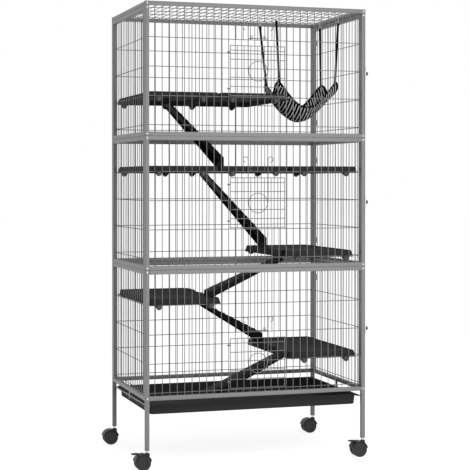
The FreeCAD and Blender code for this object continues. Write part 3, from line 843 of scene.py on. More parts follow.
@dataclass(frozen=True)
class Cloth:
    """Woven cloth, plain or with thin stripes across its first flat length."""

    name: str
    ground: Colour
    stripe: Colour | None = None
    stripe_pitch: float = 0.0124
    stripe_share: float = 0.32
    stripe_edge: float = 0.03
    thread: float = 0.0009
    thread_relief_shading: tuple[float, float] = (0.75, 1.25)
    bump: float = 0.35
    depth: float = 0.0003
    roughness: float = 0.85
    specular: float = 0.1

    def make(self, weave: bpy.types.ShaderNodeTree) -> bpy.types.Material:
        """Make the material.

        Args:
            weave: the shared weave group.

        Returns:
            The material.
        """
        n = MaterialNodes(self.name)
        woven = n.add("ShaderNodeGroup", {"node_tree": weave}, Thread=self.thread).outputs
        # Painted shade and highlight: the weave's colour is darker where its relief lies low and lighter
        # where it stands high.
        shades = [(*(shade * c for c in self.ground), 1.0) for shade in self.thread_relief_shading]
        colour = n.tint(n.ramp(woven["Height"], -1.0, 1.0, 0.0, 1.0), *shades)
        if self.stripe:
            saw = n.math("FRACT", n.math("DIVIDE", woven["Along"], self.stripe_pitch))
            off = n.math("ABSOLUTE", n.math("SUBTRACT", saw, 0.5))
            half = self.stripe_share / 2
            line = n.ramp(off, half - self.stripe_edge, half + self.stripe_edge, 1.0, 0.0)
            colour = n.tint(line, colour, (*self.stripe, 1.0))
        n.dress(
            Base_Color=colour, Normal=n.tilt(woven["Height"], self.bump, self.depth),
            Roughness=self.roughness, Specular_IOR_Level=self.specular)
        return n.material


@dataclass(frozen=True)
class Palette:
    """All finishes of the cage."""

    frame: bpy.types.Material
    wire: bpy.types.Material
    shelf: bpy.types.Material
    ramp: bpy.types.Material
    tray: bpy.types.Material
    knob: bpy.types.Material
    caster: bpy.types.Material
    wheel: bpy.types.Material
    steel: bpy.types.Material
    cloth: bpy.types.Material
    binding: bpy.types.Material

    @classmethod
    def make(cls) -> Palette:
        """Make the groups once and every material from them.

        Returns:
            The palette.
        """
        grain, lines, weave = surface_group(), brushed_group(), weave_group()
        black_cloth, white_cloth = (0.004, 0.004, 0.004), (0.95, 0.95, 0.95)
        black = (0.018, 0.018, 0.019)
        finishes = {
            "frame": Finish("hammered_grey_paint", (0.29, 0.29, 0.288), 0.42, bump=0.25, coat=0.15),
            "wire": Finish("wire_grey_paint", (0.25, 0.25, 0.25), 0.4, cell_share=0.4, bump=0.1),
            "shelf": Plastic("shelf_black_plastic", (0.050, 0.050, 0.0505), 0.66, specular=0.03),
            "ramp": Plastic("ramp_black_plastic", (0.0045, 0.0045, 0.0048), 0.6, specular=0.1),
            "tray": Plastic(
                "tray_black_plastic", (0.052, 0.052, 0.053), 0.6, 500.0, 2200.0, 0.2,
                bump=0.15, specular=0.03),
            "knob": Plastic("knob_black_plastic", black, 0.38, 900.0, 2400.0, 0.2, bump=0.1),
            "caster": Plastic("caster_black_plastic", black, 0.45, 800.0, 2400.0, bump=0.15, specular=0.35),
            "wheel": Plastic("wheel_black_rubber", (0.018, 0.018, 0.018), 0.6, 700.0, 1800.0, bump=0.2),
        }
        return cls(
            **{key: finish.make(grain) for key, finish in finishes.items()},
            steel=Steel("plated_steel").make(lines),
            cloth=Cloth("striped_cloth", black_cloth, white_cloth).make(weave),
            binding=Cloth("black_webbing", black_cloth, thread=0.0014).make(weave),
        )


def settle(item: bpy.types.Object, body: str, slot: str, *nodes: str) -> None:
    """Tie a piece to its body and hide the nodes that it stands for.

    Args:
        item: the piece.
        body: body that carries it.
        slot: not used.
        nodes: nodes that it replaces.
    """
    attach(item, body)
    if nodes:
        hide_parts(*nodes)
    LOG.info("%s: %d faces on %s", item.name, len(item.data.polygons), body)


# Wire walls


@dataclass(frozen=True)
class HingeLeaf:
    """The side door's half of a hinge: a thin leaf on the rear stile and one barrel round the pin."""

    pin_out: float = 0.0043
    pin_in: float = 0.00075
    barrel: float = 0.0038
    bore: float = 0.0019
    length: float = 0.007
    barrel_ease: float = 0.0004
    leaf_far: float = 0.012
    leaf_near: float = 0.0010
    leaf_sink: float = 0.0001
    leaf_thickness: float = 0.0013
    leaf_ease: float = 0.0002
    inset_share: float = 0.16
    sides: int = 20

    def add(self, shell: Shell, section: Section) -> None:
        """Add a door's two leaves, one near its foot and one near its head.

        Args:
            shell: where the surfaces go.
            section: the door's section.
        """
        x, y = SIZES.half_width + self.pin_out, SIZES.inner_half_depth - self.pin_in
        half, barrel, ease = self.length / 2, self.barrel, self.barrel_ease
        profile = [
            (self.bore, -half), (barrel - ease, -half), (barrel, -half + ease),
            (barrel, half - ease), (barrel - ease, half), (self.bore, half),
        ]
        far, near = -self.leaf_far, -self.leaf_near
        leaf = np.array([(far, -half), (near, -half), (near, half), (far, half)])
        inset = self.inset_share * (section.high - section.low)
        for z in (section.low + inset, section.high - inset):
            add_lathe(shell, profile, (x, y, z), Z_AXIS, self.sides, closed=True)
            origin = (SIZES.half_width - self.leaf_sink, y, z)
            add_prism(shell, leaf, origin, self.leaf_thickness, self.leaf_ease, first=Y_AXIS)


@dataclass
class WirePanel:
    """A framed wire wall of one section: tube frame, upright wires and cross wires."""

    palette: Palette
    side: Side
    section: Section
    corner: float = 0.0011
    overrun: float = 0.002
    seam: float = 0.00075
    door_gap: float = 0.0015

    @property
    def is_end(self) -> bool:
        """Whether the wall is the front or the rear one."""
        return self.side in (Side.FRONT, Side.REAR)

    def place(self, u: Array | float, w: float, z: Array | float) -> Array:
        """Point on the wall: u runs along it, w into the cage from the tube's middle.

        Args:
            u: place along the wall.
            w: depth into the cage.
            z: height.

        Returns:
            Points, one row each.
        """
        sign = -1.0 if self.side in (Side.FRONT, Side.LEFT) else 1.0
        if self.is_end:
            return points(u, sign * (SIZES.post_y - w), z)
        return points(sign * (SIZES.post_x - w), u, z)

    @property
    def half_span(self) -> float:
        """Half the frame's outer length along the wall."""
        if self.is_end:
            return SIZES.half_width
        gap = self.door_gap if self.side is Side.RIGHT else 0.0
        return SIZES.inner_half_depth - gap

    @property
    def bounds(self) -> tuple[float, float]:
        """Lower and upper edge of the frame, drawn in by the door's seam and under the roof's rails."""
        seam = self.seam if self.side is Side.RIGHT else 0.0
        under_roof = self.section is Section.UPPER and not self.is_end
        roof = SIZES.tube + SIZES.roof_seam if under_roof else 0.0
        return self.section.low + seam, self.section.high - roof - seam

    def add_frame(self, shell: Shell) -> None:
        """Two stiles, which run down as legs on the lowest front and rear, and two rails.

        Args:
            shell: where the surfaces go.
        """
        low, high = self.bounds
        half, tube = self.half_span, SIZES.tube
        has_legs = self.section is Section.LOWER and self.is_end
        foot = SIZES.leg_foot if has_legs else low
        for sign in SIGNS:
            u = sign * (half - tube / 2)
            add_bar(shell, self.place(u, 0, foot), self.place(u, 0, high), tube, self.corner)
        for z in (low + tube / 2, high - tube / 2):
            add_bar(shell, self.place(-half + tube, 0, z), self.place(half - tube, 0, z), tube, self.corner)

    def add_uprights(self, shell: Shell, columns: Array, low: float, high: float) -> None:
        """Upright wires between two heights, on the outer side of the wall's middle.

        Args:
            shell: where the surfaces go.
            columns: place of each wire along the wall.
            low: lower end.
            high: upper end.
        """
        radius = SIZES.wire_radius
        starts, ends = self.place(columns, -radius, low), self.place(columns, -radius, high)
        add_rods(shell, starts, ends, radius, finish=1)

    def add_crosses(self, shell: Shell, heights: Sequence[float], start: float, end: float) -> None:
        """Cross wires on the inner side of the uprights.

        Args:
            shell: where the surfaces go.
            heights: height of each wire.
            start: first end along the wall.
            end: second end along the wall.
        """
        z = np.asarray(heights)
        radius = SIZES.wire_radius
        w = radius + SIZES.weld_gap
        add_rods(shell, self.place(start, w, z), self.place(end, w, z), radius, finish=1)

    def add_wires(self, shell: Shell) -> None:
        """All wires of the wall, cut away at the small door on the front.

        Args:
            shell: where the surfaces go.
        """
        low, high = self.bounds
        low, high = low + SIZES.tube / 2, high - SIZES.tube / 2
        half = self.half_span
        reach = half - SIZES.tube / 2
        rows = self.section.rows()
        columns = SIZES.columns() if self.is_end else SIZES.side_columns_at(half)
        if self.side is not Side.FRONT:
            self.add_uprights(shell, columns, low, high)
            self.add_crosses(shell, rows, -reach, reach)
            return
        head, split, sill = self.section.door_rows()
        beside = np.abs(columns) > SIZES.opening_half - SIZES.wire
        self.add_uprights(shell, columns[beside], low, high)
        self.add_uprights(shell, columns[~beside], low, sill + self.overrun)
        self.add_uprights(shell, columns[~beside], head - self.overrun, high)
        self.add_crosses(shell, [z for z in rows if z != split], -reach, reach)
        edge = SIZES.opening_half - self.overrun
        self.add_crosses(shell, [split], -reach, -edge)
        self.add_crosses(shell, [split], edge, reach)

    def build(self) -> None:
        """Build the wall as one piece that stands for its node."""
        shell = Shell()
        self.add_frame(shell)
        self.add_wires(shell)
        label = self.section.label
        node, body = f"{self.side.value}_panel_{label}", "cage"
        if self.side is Side.RIGHT:
            node = body = f"side_door_{label}"
            HingeLeaf().add(shell, self.section)
        item = shell.build("wall_" + node, [self.palette.frame, self.palette.wire])
        settle(item, body, "frame_paint", node)


@dataclass
class TopMesh:
    """The wire roof with its two side rails, between the front and rear rails."""

    palette: Palette
    rows: int = 4
    rail_corner: float = 0.0035
    embed: float = 0.004

    def build(self) -> None:
        """Build the roof as one piece: wires along the depth lie over those along the width."""
        shell = Shell()
        rail_x, rail_y = SIZES.post_x, SIZES.inner_half_depth
        for x in (-rail_x, rail_x):
            add_bar(shell, (x, -rail_y, ROOF_Z), (x, rail_y, ROOF_Z), SIZES.tube, self.rail_corner)
        radius = SIZES.wire_radius
        front = points(SIZES.columns(), -rail_y - self.embed, ROOF_Z + radius)
        add_rods(shell, front, front * (1, -1, 1), radius, finish=1)
        y = -rail_y + 2 * rail_y / (self.rows + 1) * np.arange(1, self.rows + 1)
        left = points(-SIZES.inner_half_width - self.embed, y, ROOF_Z - radius - SIZES.weld_gap)
        add_rods(shell, left, left * (-1, 1, 1), radius, finish=1)
        item = shell.build("roof_mesh", [self.palette.frame, self.palette.wire])
        settle(item, "cage", "frame_paint", "top_mesh")


@dataclass
class FrontDoor:
    """A small wire door in the front wall, with its sliding wire latch."""

    palette: Palette
    section: Section
    side_gap: float = 0.006
    top_step: float = 0.0175
    row_foot: float = 0.0015
    rows: int = 6
    columns: int = 9
    knuckle: float = 0.005
    knuckle_play: float = 0.00035
    knuckle_share: float = 0.14
    knuckle_sides: int = 20
    latch_radius: float = 0.00125
    latch_play: float = 0.0004
    ring_radius: float = 0.034
    ring_drop: float = 0.088
    ring_sides: int = 64
    rise: float = 0.062
    curl: float = 0.009
    bar_rise: float = 0.024
    eye_radius: float = 0.004
    eye_wire: float = 0.0008
    eye_sides: int = 24

    def build_door(self) -> None:
        """Wires of the door and the two knuckles that turn on a wall wire."""
        shell = Shell()
        low, high = self.section.door_span()
        half, radius = SIZES.opening_half, SIZES.wire_radius
        reach = half - self.side_gap
        y = -SIZES.post_y - radius
        x = np.linspace(-reach, reach, self.columns)
        add_rods(shell, points(x, y, low), points(x, y, high), radius)
        below = np.linspace(high - self.top_step, low + self.row_foot, self.rows)
        z = np.concatenate([[high - radius], below])
        left = points(-reach - radius, -SIZES.post_y - 3 * radius - SIZES.weld_gap, z)
        add_rods(shell, left, left * (-1, 1, 1), radius)
        inner, outer, tall = radius + self.knuckle_play, self.side_gap - radius, self.knuckle / 2
        profile = [(inner, -tall), (outer, -tall), (outer, tall), (inner, tall)]
        inset = self.knuckle_share * (high - low)
        for z_knuckle in (low + inset, high - inset):
            add_lathe(shell, profile, (-half, y, z_knuckle), Z_AXIS, self.knuckle_sides, closed=True)
        label = self.section.label
        item = shell.build(f"front_door_wires_{label}", [self.palette.wire])
        settle(item, f"front_door_{label}", "frame_paint", f"front_door_{label}")

    def build_latch(self) -> None:
        """Ring handle, two uprights with curled tops, a bar between them and its two eyes.

        A ring is a circle swept along a circle, and a curl is three quarters of one.
        """
        shell = Shell()
        high = self.section.door_span()[1]
        r = self.latch_radius
        y = -SIZES.post_y - 2 * SIZES.wire - 2 * SIZES.weld_gap - self.latch_play - r
        z_ring, z_top = high - self.ring_drop, high + self.rise
        add_path(shell, upright_circle((0, y, z_ring), self.ring_radius, self.ring_sides), r, closed=True)
        x_post = self.ring_radius + 2 * r
        turn = np.linspace(0, 1.5 * math.pi, 28)
        stem = np.linspace(z_ring, z_top, 12)[:-1]
        for sign in SIGNS:
            x = sign * (x_post + self.curl - self.curl * np.cos(turn))
            curl = points(x, y, z_top + self.curl * np.sin(turn))
            add_path(shell, np.concatenate([points(sign * x_post, y, stem), curl]), r)
        z_bar = high + self.bar_rise
        reach = self.ring_radius + r
        add_rods(shell, (-reach, y, z_bar), (reach, y, z_bar), r, 10, finish=1)
        z_eye = z_bar + r + self.eye_radius + self.eye_wire
        for sign in SIGNS:
            eye = upright_circle((sign * self.ring_radius * 2 / 3, y, z_eye), self.eye_radius, self.eye_sides)
            add_path(shell, eye, self.eye_wire, sides=8, closed=True, finish=1)
        label = self.section.label
        item = shell.build(f"ring_latch_{label}", [self.palette.wire, self.palette.knob])
        settle(item, f"front_latch_{label}", "frame_paint", f"front_latch_{label}")


@dataclass
class SideLatch:
    """The turn plate with its black knob on the front right post."""

    palette: Palette
    section: Section
    length: float = 0.046
    width: float = 0.012
    taper: float = 0.007
    thickness: float = 0.0026
    ease: float = 0.0004
    standoff: float = 0.0006
    knob_radius: float = 0.0065
    knob_height: float = 0.008
    knob_sides: int = 28
    knob_shares: tuple[tuple[float, float], ...] = (
        (0.3, 0), (0.86, 0), (0.9, 0.04), (0.9, 0.2), (1, 0.28),
        (1, 0.7), (0.93, 0.88), (0.7, 0.97), (0.3, 1),
    )

    def build(self) -> None:
        """Build the plate, a rectangle with cut corners, and its knob, a turned profile."""
        label = self.section.label
        x, y, z = SIZES.half_width + self.standoff, -SIZES.post_y, self.section.middle
        half, reach, cut = self.width / 2, self.length / 2, self.taper
        right = np.array([
            (half - cut / 2, -reach), (half, -reach + cut), (half, reach - cut), (half - cut / 2, reach)])
        outline = np.roll(np.concatenate([right, -right]), -1, axis=0)
        plate = Shell()
        add_prism(plate, outline, (x, y, z), self.thickness, self.ease, first=Y_AXIS)
        item = plate.build(f"turn_plate_{label}", [self.palette.steel])
        settle(item, f"side_latch_{label}", "latch_steel", f"side_latch_{label}")
        knob = Shell()
        profile = np.array(self.knob_shares) * (self.knob_radius, self.knob_height)
        add_lathe(knob, profile, (x + self.thickness, y, z), X_AXIS, self.knob_sides)
        item = knob.build(f"turn_knob_{label}", [self.palette.knob])
        settle(item, f"side_latch_{label}", "knob_plastic", f"side_latch_knob_{label}")


# Shelves, ramps and tray


@dataclass(frozen=True)
class ShelfPlace:
    """One shelf module: node, middle across the width, rim level, clamped wire gaps and ramp hole."""

    node: str
    x: float
    level: float
    gaps: tuple[int, int]
    hole: tuple[float, float, float, float] | None = None

    def clamp_x(self) -> list[float]:
        """Middles of the gaps between wires that its clamps reach through."""
        return [SIZES.pitch * (count + 0.5) for count in self.gaps]


# Rim levels of the shelves
UPPER_LEVEL = 1.278
FULL_LEVEL = 1.026
RIGHT_LEVEL = 0.730
LEFT_LEVEL = 0.574
LOW_LEVEL = 0.375

# Half sizes of a module at its foot and its rim, and the middles of the modules
WIDTH_PLAY = 0.0065
DEPTH_PLAY = 0.003
FLARE = 0.0065
FOOT_X = (SIZES.inner_half_width - WIDTH_PLAY) / 3
FOOT_Y = SIZES.inner_half_depth - DEPTH_PLAY
TOP_X = FOOT_X - FLARE
REACH_X = SIZES.inner_half_width - FOOT_X
LEFT_GAP = 0.0015
FULL_RIGHT_GAP = 0.007
MIDDLE_RIGHT_GAP = 0.0225
LOWER_LEFT_GAP = 0.006
LOWER_RIGHT_GAP = 0.0125
LEFT_X = LEFT_GAP - REACH_X
CENTRE_X = -0.004
FULL_RIGHT_X = REACH_X - FULL_RIGHT_GAP
MIDDLE_RIGHT_X = REACH_X - MIDDLE_RIGHT_GAP
LOWER_LEFT_X = LOWER_LEFT_GAP - REACH_X
LOWER_RIGHT_X = REACH_X - LOWER_RIGHT_GAP

# Ramp holes, each with its two ends across the width
RAMP_WIDTH = 0.096
RAMP_INSET = 0.037
RAMP_Y = FOOT_Y - RAMP_WIDTH / 2 - RAMP_INSET
HOLE_PLAY = 0.004
HOLE_HALF = RAMP_WIDTH / 2 + HOLE_PLAY
HOLE_LENGTH = 0.108
UPPER_HOLE_INSET = 0.016
FULL_HOLE_INSET = 0.046
UPPER_HOLE_END = LEFT_X + TOP_X - UPPER_HOLE_INSET
FULL_HOLE_START = CENTRE_X - TOP_X + FULL_HOLE_INSET
HOLE_UPPER = (UPPER_HOLE_END - HOLE_LENGTH, UPPER_HOLE_END)
HOLE_FULL = (FULL_HOLE_START, FULL_HOLE_START + HOLE_LENGTH)

SHELVES = (
    ShelfPlace("shelf_upper_left", LEFT_X, UPPER_LEVEL, (-14, -8), (*HOLE_UPPER, -HOLE_HALF, HOLE_HALF)),
    ShelfPlace("shelf_upper_centre", CENTRE_X, UPPER_LEVEL, (-4, 2)),
    ShelfPlace("shelf_full_left", LEFT_X, FULL_LEVEL, (-14, -8)),
    ShelfPlace("shelf_full_centre", CENTRE_X, FULL_LEVEL, (-4, 2),
               (*HOLE_FULL, RAMP_Y - HOLE_HALF, RAMP_Y + HOLE_HALF)),
    ShelfPlace("shelf_full_right", FULL_RIGHT_X, FULL_LEVEL, (6, 12)),
    ShelfPlace("shelf_middle_right", MIDDLE_RIGHT_X, RIGHT_LEVEL, (5, 12)),
    ShelfPlace("shelf_lower_left", LOWER_LEFT_X, LEFT_LEVEL, (-14, -7)),
    ShelfPlace("shelf_lower_right", LOWER_RIGHT_X, LOW_LEVEL, (6, 12)),
)

# A shelf's section from its foot up the skirt and over the rim to the deck:
# distance inside the foot's outline and height from the rim, in mm
SHELF_SECTION = (
    (2.2, -23.0), (0.5, -23.0), (0.05, -22.6), (0.0, -22.0), (5.5, -2.4), (5.8, -1.3), (6.4, -0.4),
    (7.4, 0.0), (11.4, 0.0), (12.1, -0.2), (12.5, -0.8), (12.7, -2.3), (13.1, -2.8), (13.9, -3.0),
)


@dataclass
class Shelf:
    """A moulded shelf: flared skirt, rim, sunk deck and open underside."""

    palette: Palette
    spot: ShelfPlace
    height: float = 0.023
    skin: float = 0.0026
    corner: float = 0.009
    corner_share: float = 0.2
    corner_steps: int = 6
    recess: float = 0.003
    hole_corner: float = 0.001
    under_fillet: tuple[float, float] = (0.004, 0.0016)
    ease: float = 0.0004
    lug_radius: float = 0.008
    lug_thickness: float = 0.003
    lug_embed: float = 0.0012
    lug_ease: float = 0.0005

    def loop(self, inset: float, z: float) -> Array:
        """The foot's outline drawn in by an inset, at a height from the rim.

        Args:
            inset: distance inside the foot's outline.
            z: height from the rim.

        Returns:
            Points of the loop.
        """
        corner = self.corner - self.corner_share * inset
        plan = rounded_rectangle(FOOT_X - inset, FOOT_Y - inset, corner, self.corner_steps)
        return points(plan[:, 0] + self.spot.x, plan[:, 1], self.spot.level + z)

    def hole_loop(self, z: float) -> Array:
        """Outline of the ramp hole at a height from the rim."""
        x0, x1, y0, y1 = self.spot.hole
        plan = rounded_rectangle((x1 - x0) / 2, (y1 - y0) / 2, self.hole_corner, self.corner_steps)
        return points(plan[:, 0] + (x0 + x1) / 2, plan[:, 1] + (y0 + y1) / 2, self.spot.level + z)

    def build(self) -> None:
        """Carry the section round the outline, close the deck and add the four lugs."""
        shell = Shell()
        rings = [self.loop(inset * MM, z * MM) for inset, z in SHELF_SECTION]
        under, wall = -self.recess - self.skin, FLARE + self.skin
        fillet_out, fillet_down = self.under_fillet
        below = [
            self.loop(wall + fillet_out, under),
            self.loop(wall - self.ease, under - fillet_down),
            self.loop(self.skin, -self.height + self.ease),
        ]
        if self.spot.hole:
            hole = [self.hole_loop(-self.recess), self.hole_loop(under)]
            shell.loft(np.stack(rings + hole + below), closed=True)
        else:
            shell.loft(np.stack(below + rings))
        self.add_lugs(shell)
        item = shell.build("moulded_" + self.spot.node, [self.palette.shelf])
        settle(item, "cage", "shelf_plastic", self.spot.node)

    def add_lugs(self, shell: Shell) -> None:
        """Half discs under the skirt at front and rear, where the clamps reach through.

        Args:
            shell: where the surfaces go.
        """
        r, embed = self.lug_radius, self.lug_embed
        outline = np.concatenate([arc(math.pi, 2 * math.pi, 17, r), [(r, embed), (-r, embed)]])
        foot = self.spot.level - self.height
        for x, y in itertools.product(self.spot.clamp_x(), (-FOOT_Y + self.lug_thickness, FOOT_Y)):
            add_prism(shell, outline, (x, y, foot), self.lug_thickness, self.lug_ease)


@dataclass
class ShelfClamps:
    """The clamps that hold every shelf: a bar across two wall wires, a round knob and its stem."""

    palette: Palette
    radius: float = 0.0095
    height: float = 0.007
    drop: float = 0.026
    stem: float = 0.0025
    stem_gap: float = 0.0003
    knob_sink: float = 0.0002
    knob_sides: int = 24
    knob_shares: tuple[tuple[float, float], ...] = (
        (0.5, 0), (0.95, 0), (1, 0.08), (1, 0.68), (0.95, 0.84),
        (0.82, 0.95), (0.62, 1), (0.56, 0.93), (0.2, 0.9),
    )
    bar_half: float = SIZES.pitch / 2 + 0.0024
    bar_rise: float = 0.006
    bar_height: float = 0.005
    bar_thickness: float = 0.0022
    bar_corner: float = 0.0012
    bar_ease: float = 0.0005

    def build(self) -> None:
        """Build all clamps as one piece."""
        shell = Shell()
        knob = np.array(self.knob_shares) * (self.radius, self.height)
        outline = rounded_rectangle(self.bar_half, self.bar_height / 2, self.bar_corner, 3)
        face = SIZES.post_y + SIZES.wire + SIZES.weld_gap
        outer = face + self.bar_thickness
        for spot in SHELVES:
            z = spot.level - self.drop
            for x, sign in itertools.product(spot.clamp_x(), SIGNS):
                start = (x, -face if sign < 0 else outer, z + self.bar_rise)
                add_prism(shell, outline, start, self.bar_thickness, self.bar_ease)
                centre = (x, sign * (outer - self.knob_sink), z)
                add_lathe(shell, knob, centre, (0, sign, 0), self.knob_sides)
                add_rods(shell, (x, sign * (FOOT_Y + self.stem_gap), z), (x, sign * outer, z), self.stem, 10)
        item = shell.build("shelf_clamps", [self.palette.knob])
        settle(item, "cage", "knob_plastic", "shelf_knobs")


@dataclass(frozen=True)
class RampPlace:
    """One ramp: where its plate and foot stand, its middle in depth, hook end, plank drop and foot height."""

    node: str
    head_x: float
    head_z: float
    foot_x: float
    foot_z: float
    y: float
    hook_x: float
    drop: float
    end: float


# Ramps: deck under the rim, hook on its shelf, foot on the deck below, gap to the shelf and reach of the hook
DECK = -0.003
SEAT = 0.0015
REST = 0.0003
CLEAR = 0.001
HOOK = 0.005

# Plank drop under the hook, from a hole, an edge and the low shelf, and height of the foot
HOLE_DROP = 0.0222
EDGE_DROP = 0.0302
LOW_DROP = 0.0132
TALL_END = 0.036
SHORT_END = 0.021

# Distance of each ramp's foot from the rim of the module it stands on, and the low ramp's run and foot
UPPER_TOE = 0.0645
FULL_TOE = 0.0384
RIGHT_TOE = 0.0165
LEFT_TOE = 0.012
LOW_RUN = 0.268
LOW_FOOT_Z = 0.220
LOW_HEAD_X = LOWER_RIGHT_X - FOOT_X - CLEAR

RAMPS = (
    RampPlace("ramp_upper", HOLE_UPPER[0] + CLEAR, UPPER_LEVEL + DECK + SEAT,
              CENTRE_X - TOP_X + UPPER_TOE, FULL_LEVEL + DECK + REST, 0.0,
              HOLE_UPPER[0] - CLEAR - HOOK, HOLE_DROP, TALL_END),
    RampPlace("ramp_full", HOLE_FULL[0] + CLEAR, FULL_LEVEL + DECK + SEAT,
              MIDDLE_RIGHT_X - TOP_X + FULL_TOE, RIGHT_LEVEL + DECK + REST, RAMP_Y,
              HOLE_FULL[0] - CLEAR - HOOK, HOLE_DROP, TALL_END),
    RampPlace("ramp_right", MIDDLE_RIGHT_X - FOOT_X - CLEAR, RIGHT_LEVEL + SEAT,
              LOWER_LEFT_X + TOP_X - RIGHT_TOE, LEFT_LEVEL + DECK + REST, -RAMP_Y,
              MIDDLE_RIGHT_X - TOP_X + HOOK, EDGE_DROP, SHORT_END),
    RampPlace("ramp_left", LOWER_LEFT_X + FOOT_X + CLEAR, LEFT_LEVEL + SEAT,
              LOWER_RIGHT_X - TOP_X + LEFT_TOE, LOW_LEVEL + DECK + REST, RAMP_Y,
              LOWER_LEFT_X + TOP_X - HOOK, EDGE_DROP, TALL_END),
    RampPlace("ramp_low", LOW_HEAD_X, LOW_LEVEL + SEAT,
              LOW_HEAD_X - LOW_RUN, LOW_FOOT_Z, -RAMP_Y,
              LOWER_RIGHT_X - TOP_X + HOOK, LOW_DROP, SHORT_END),
)


@dataclass
class Ramp:
    """A ramp with tapering down-turned sides, treads, a closed foot, and a plate and hook at its head."""

    palette: Palette
    spot: RampPlace
    width: float = RAMP_WIDTH
    head_height: float = 0.007
    skin: float = 0.003
    corner: float = 0.0025
    inner_corner: float = 0.002
    edge_ease: float = 0.0004
    hook: float = 0.0012
    hook_ease: float = 0.0006
    hook_inset: float = 0.0008
    wall_sink: float = 0.0003
    wall_inset: float = 0.0004
    toe_sink: float = 0.0002
    toe_drop: float = 0.0004
    toe_inset: float = 0.0010
    end_ease: float = 0.0003
    treads: int = 8
    tread_width: float = 0.007
    tread_height: float = 0.0024
    tread_inset: float = 0.006
    tread_embed: float = 0.001
    tread_ease: float = 0.0006

    @property
    def slope(self) -> float:
        """Rise per run, negative for a ramp that falls to the right."""
        s = self.spot
        return (s.foot_z + s.end - s.head_z + s.drop) / (s.foot_x - s.head_x)

    @property
    def thick(self) -> float:
        """Upright thickness of the sloping deck."""
        return self.skin * math.hypot(1, self.slope)

    def line(self, x: Array | float) -> Array | float:
        """Height of the deck's upper face."""
        return self.spot.head_z - self.spot.drop + self.slope * (x - self.spot.head_x)

    def section(self, height: float) -> Array:
        """Bent section of the channel in depth and height: deck, rounded edges and side walls.

        Args:
            height: height of the side walls.

        Returns:
            Points of the closed section.
        """
        half, r, ease = self.width / 2, self.corner, self.edge_ease
        within = half - self.skin
        edge = arc(math.pi / 2, 0, 5, r) + (half - r, -r)
        wall = [
            (half, -height + ease), (half - ease, -height),
            (within + ease, -height), (within, -height + ease),
            (within, -self.thick - self.inner_corner), (within - self.inner_corner, -self.thick),
        ]
        side = np.concatenate([edge, wall])
        return np.concatenate([side, side[::-1] * (-1, 1)])

    def add_channel(self, shell: Shell) -> None:
        """The channel: its section carried straight from head to foot while the side walls grow taller.

        Args:
            shell: where the surfaces go.
        """
        s = self.spot
        rings = []
        for x, height in ((s.head_x, self.head_height), (s.foot_x, s.end)):
            plan = self.section(height)
            rings.append(points(x, s.y + plan[:, 0], self.line(x) + plan[:, 1]))
        stack = np.stack(rings)
        shell.loft(stack if s.foot_x < s.head_x else stack[:, ::-1])

    def add_ends(self, shell: Shell) -> None:
        """The plate that rises from the plank, the hook on the shelf and the plate across the foot.

        Args:
            shell: where the surfaces go.
        """
        s = self.spot
        way = 1 if s.foot_x > s.head_x else -1
        front, back, top = s.head_x, s.head_x + way * self.skin, s.head_z - self.wall_sink
        wall = np.array([
            (front, top), (back, top),
            (back, self.line(back) - self.thick), (front, self.line(front) - self.thick),
        ])
        under, ease = s.head_z - self.hook, self.hook_ease
        hook = np.array([
            (s.hook_x, under), (s.hook_x, s.head_z - ease), (s.hook_x + way * ease, s.head_z),
            (back, s.head_z), (back, under),
        ])
        toe, heel = s.foot_x - way * self.toe_sink, s.foot_x - way * self.skin
        plate = np.array([
            (toe, self.line(toe) - self.toe_drop), (heel, self.line(heel) - self.toe_drop),
            (heel, s.foot_z), (toe, s.foot_z),
        ])
        for outline, inset in ((wall, self.wall_inset), (hook, self.hook_inset), (plate, self.toe_inset)):
            origin = (0, s.y + self.width / 2 - inset, 0)
            add_prism(shell, against_clock(outline), origin, self.width - 2 * inset, self.end_ease)

    def add_treads(self, shell: Shell) -> None:
        """Rounded cross bars: half an ellipse standing on the deck, carried across it.

        Args:
            shell: where the surfaces go.
        """
        s = self.spot
        run = s.foot_x - s.head_x
        lean = math.hypot(1, self.slope)
        along = np.array([1.0, self.slope]) / lean
        up = np.array([-self.slope, 1.0]) / lean
        wide = self.tread_width / 2
        bump = arc(0, math.pi, 9) * (wide, self.tread_height)
        arch = np.concatenate([bump, [(-wide, -self.tread_embed), (wide, -self.tread_embed)]])
        half = self.width / 2 - self.tread_inset
        for i in range(self.treads):
            x = s.head_x + run * (i + 1) / (self.treads + 1)
            outline = np.array([x, self.line(x)]) + arch[:, :1] * along + arch[:, 1:] * up
            add_prism(shell, outline, (0, s.y + half, 0), 2 * half, self.tread_ease)

    def build(self) -> None:
        """Build the ramp as one piece."""
        shell = Shell()
        self.add_channel(shell)
        self.add_ends(shell)
        self.add_treads(shell)
        item = shell.build("channel_" + self.spot.node, [self.palette.ramp])
        settle(item, "cage", "ramp_plastic", self.spot.node)


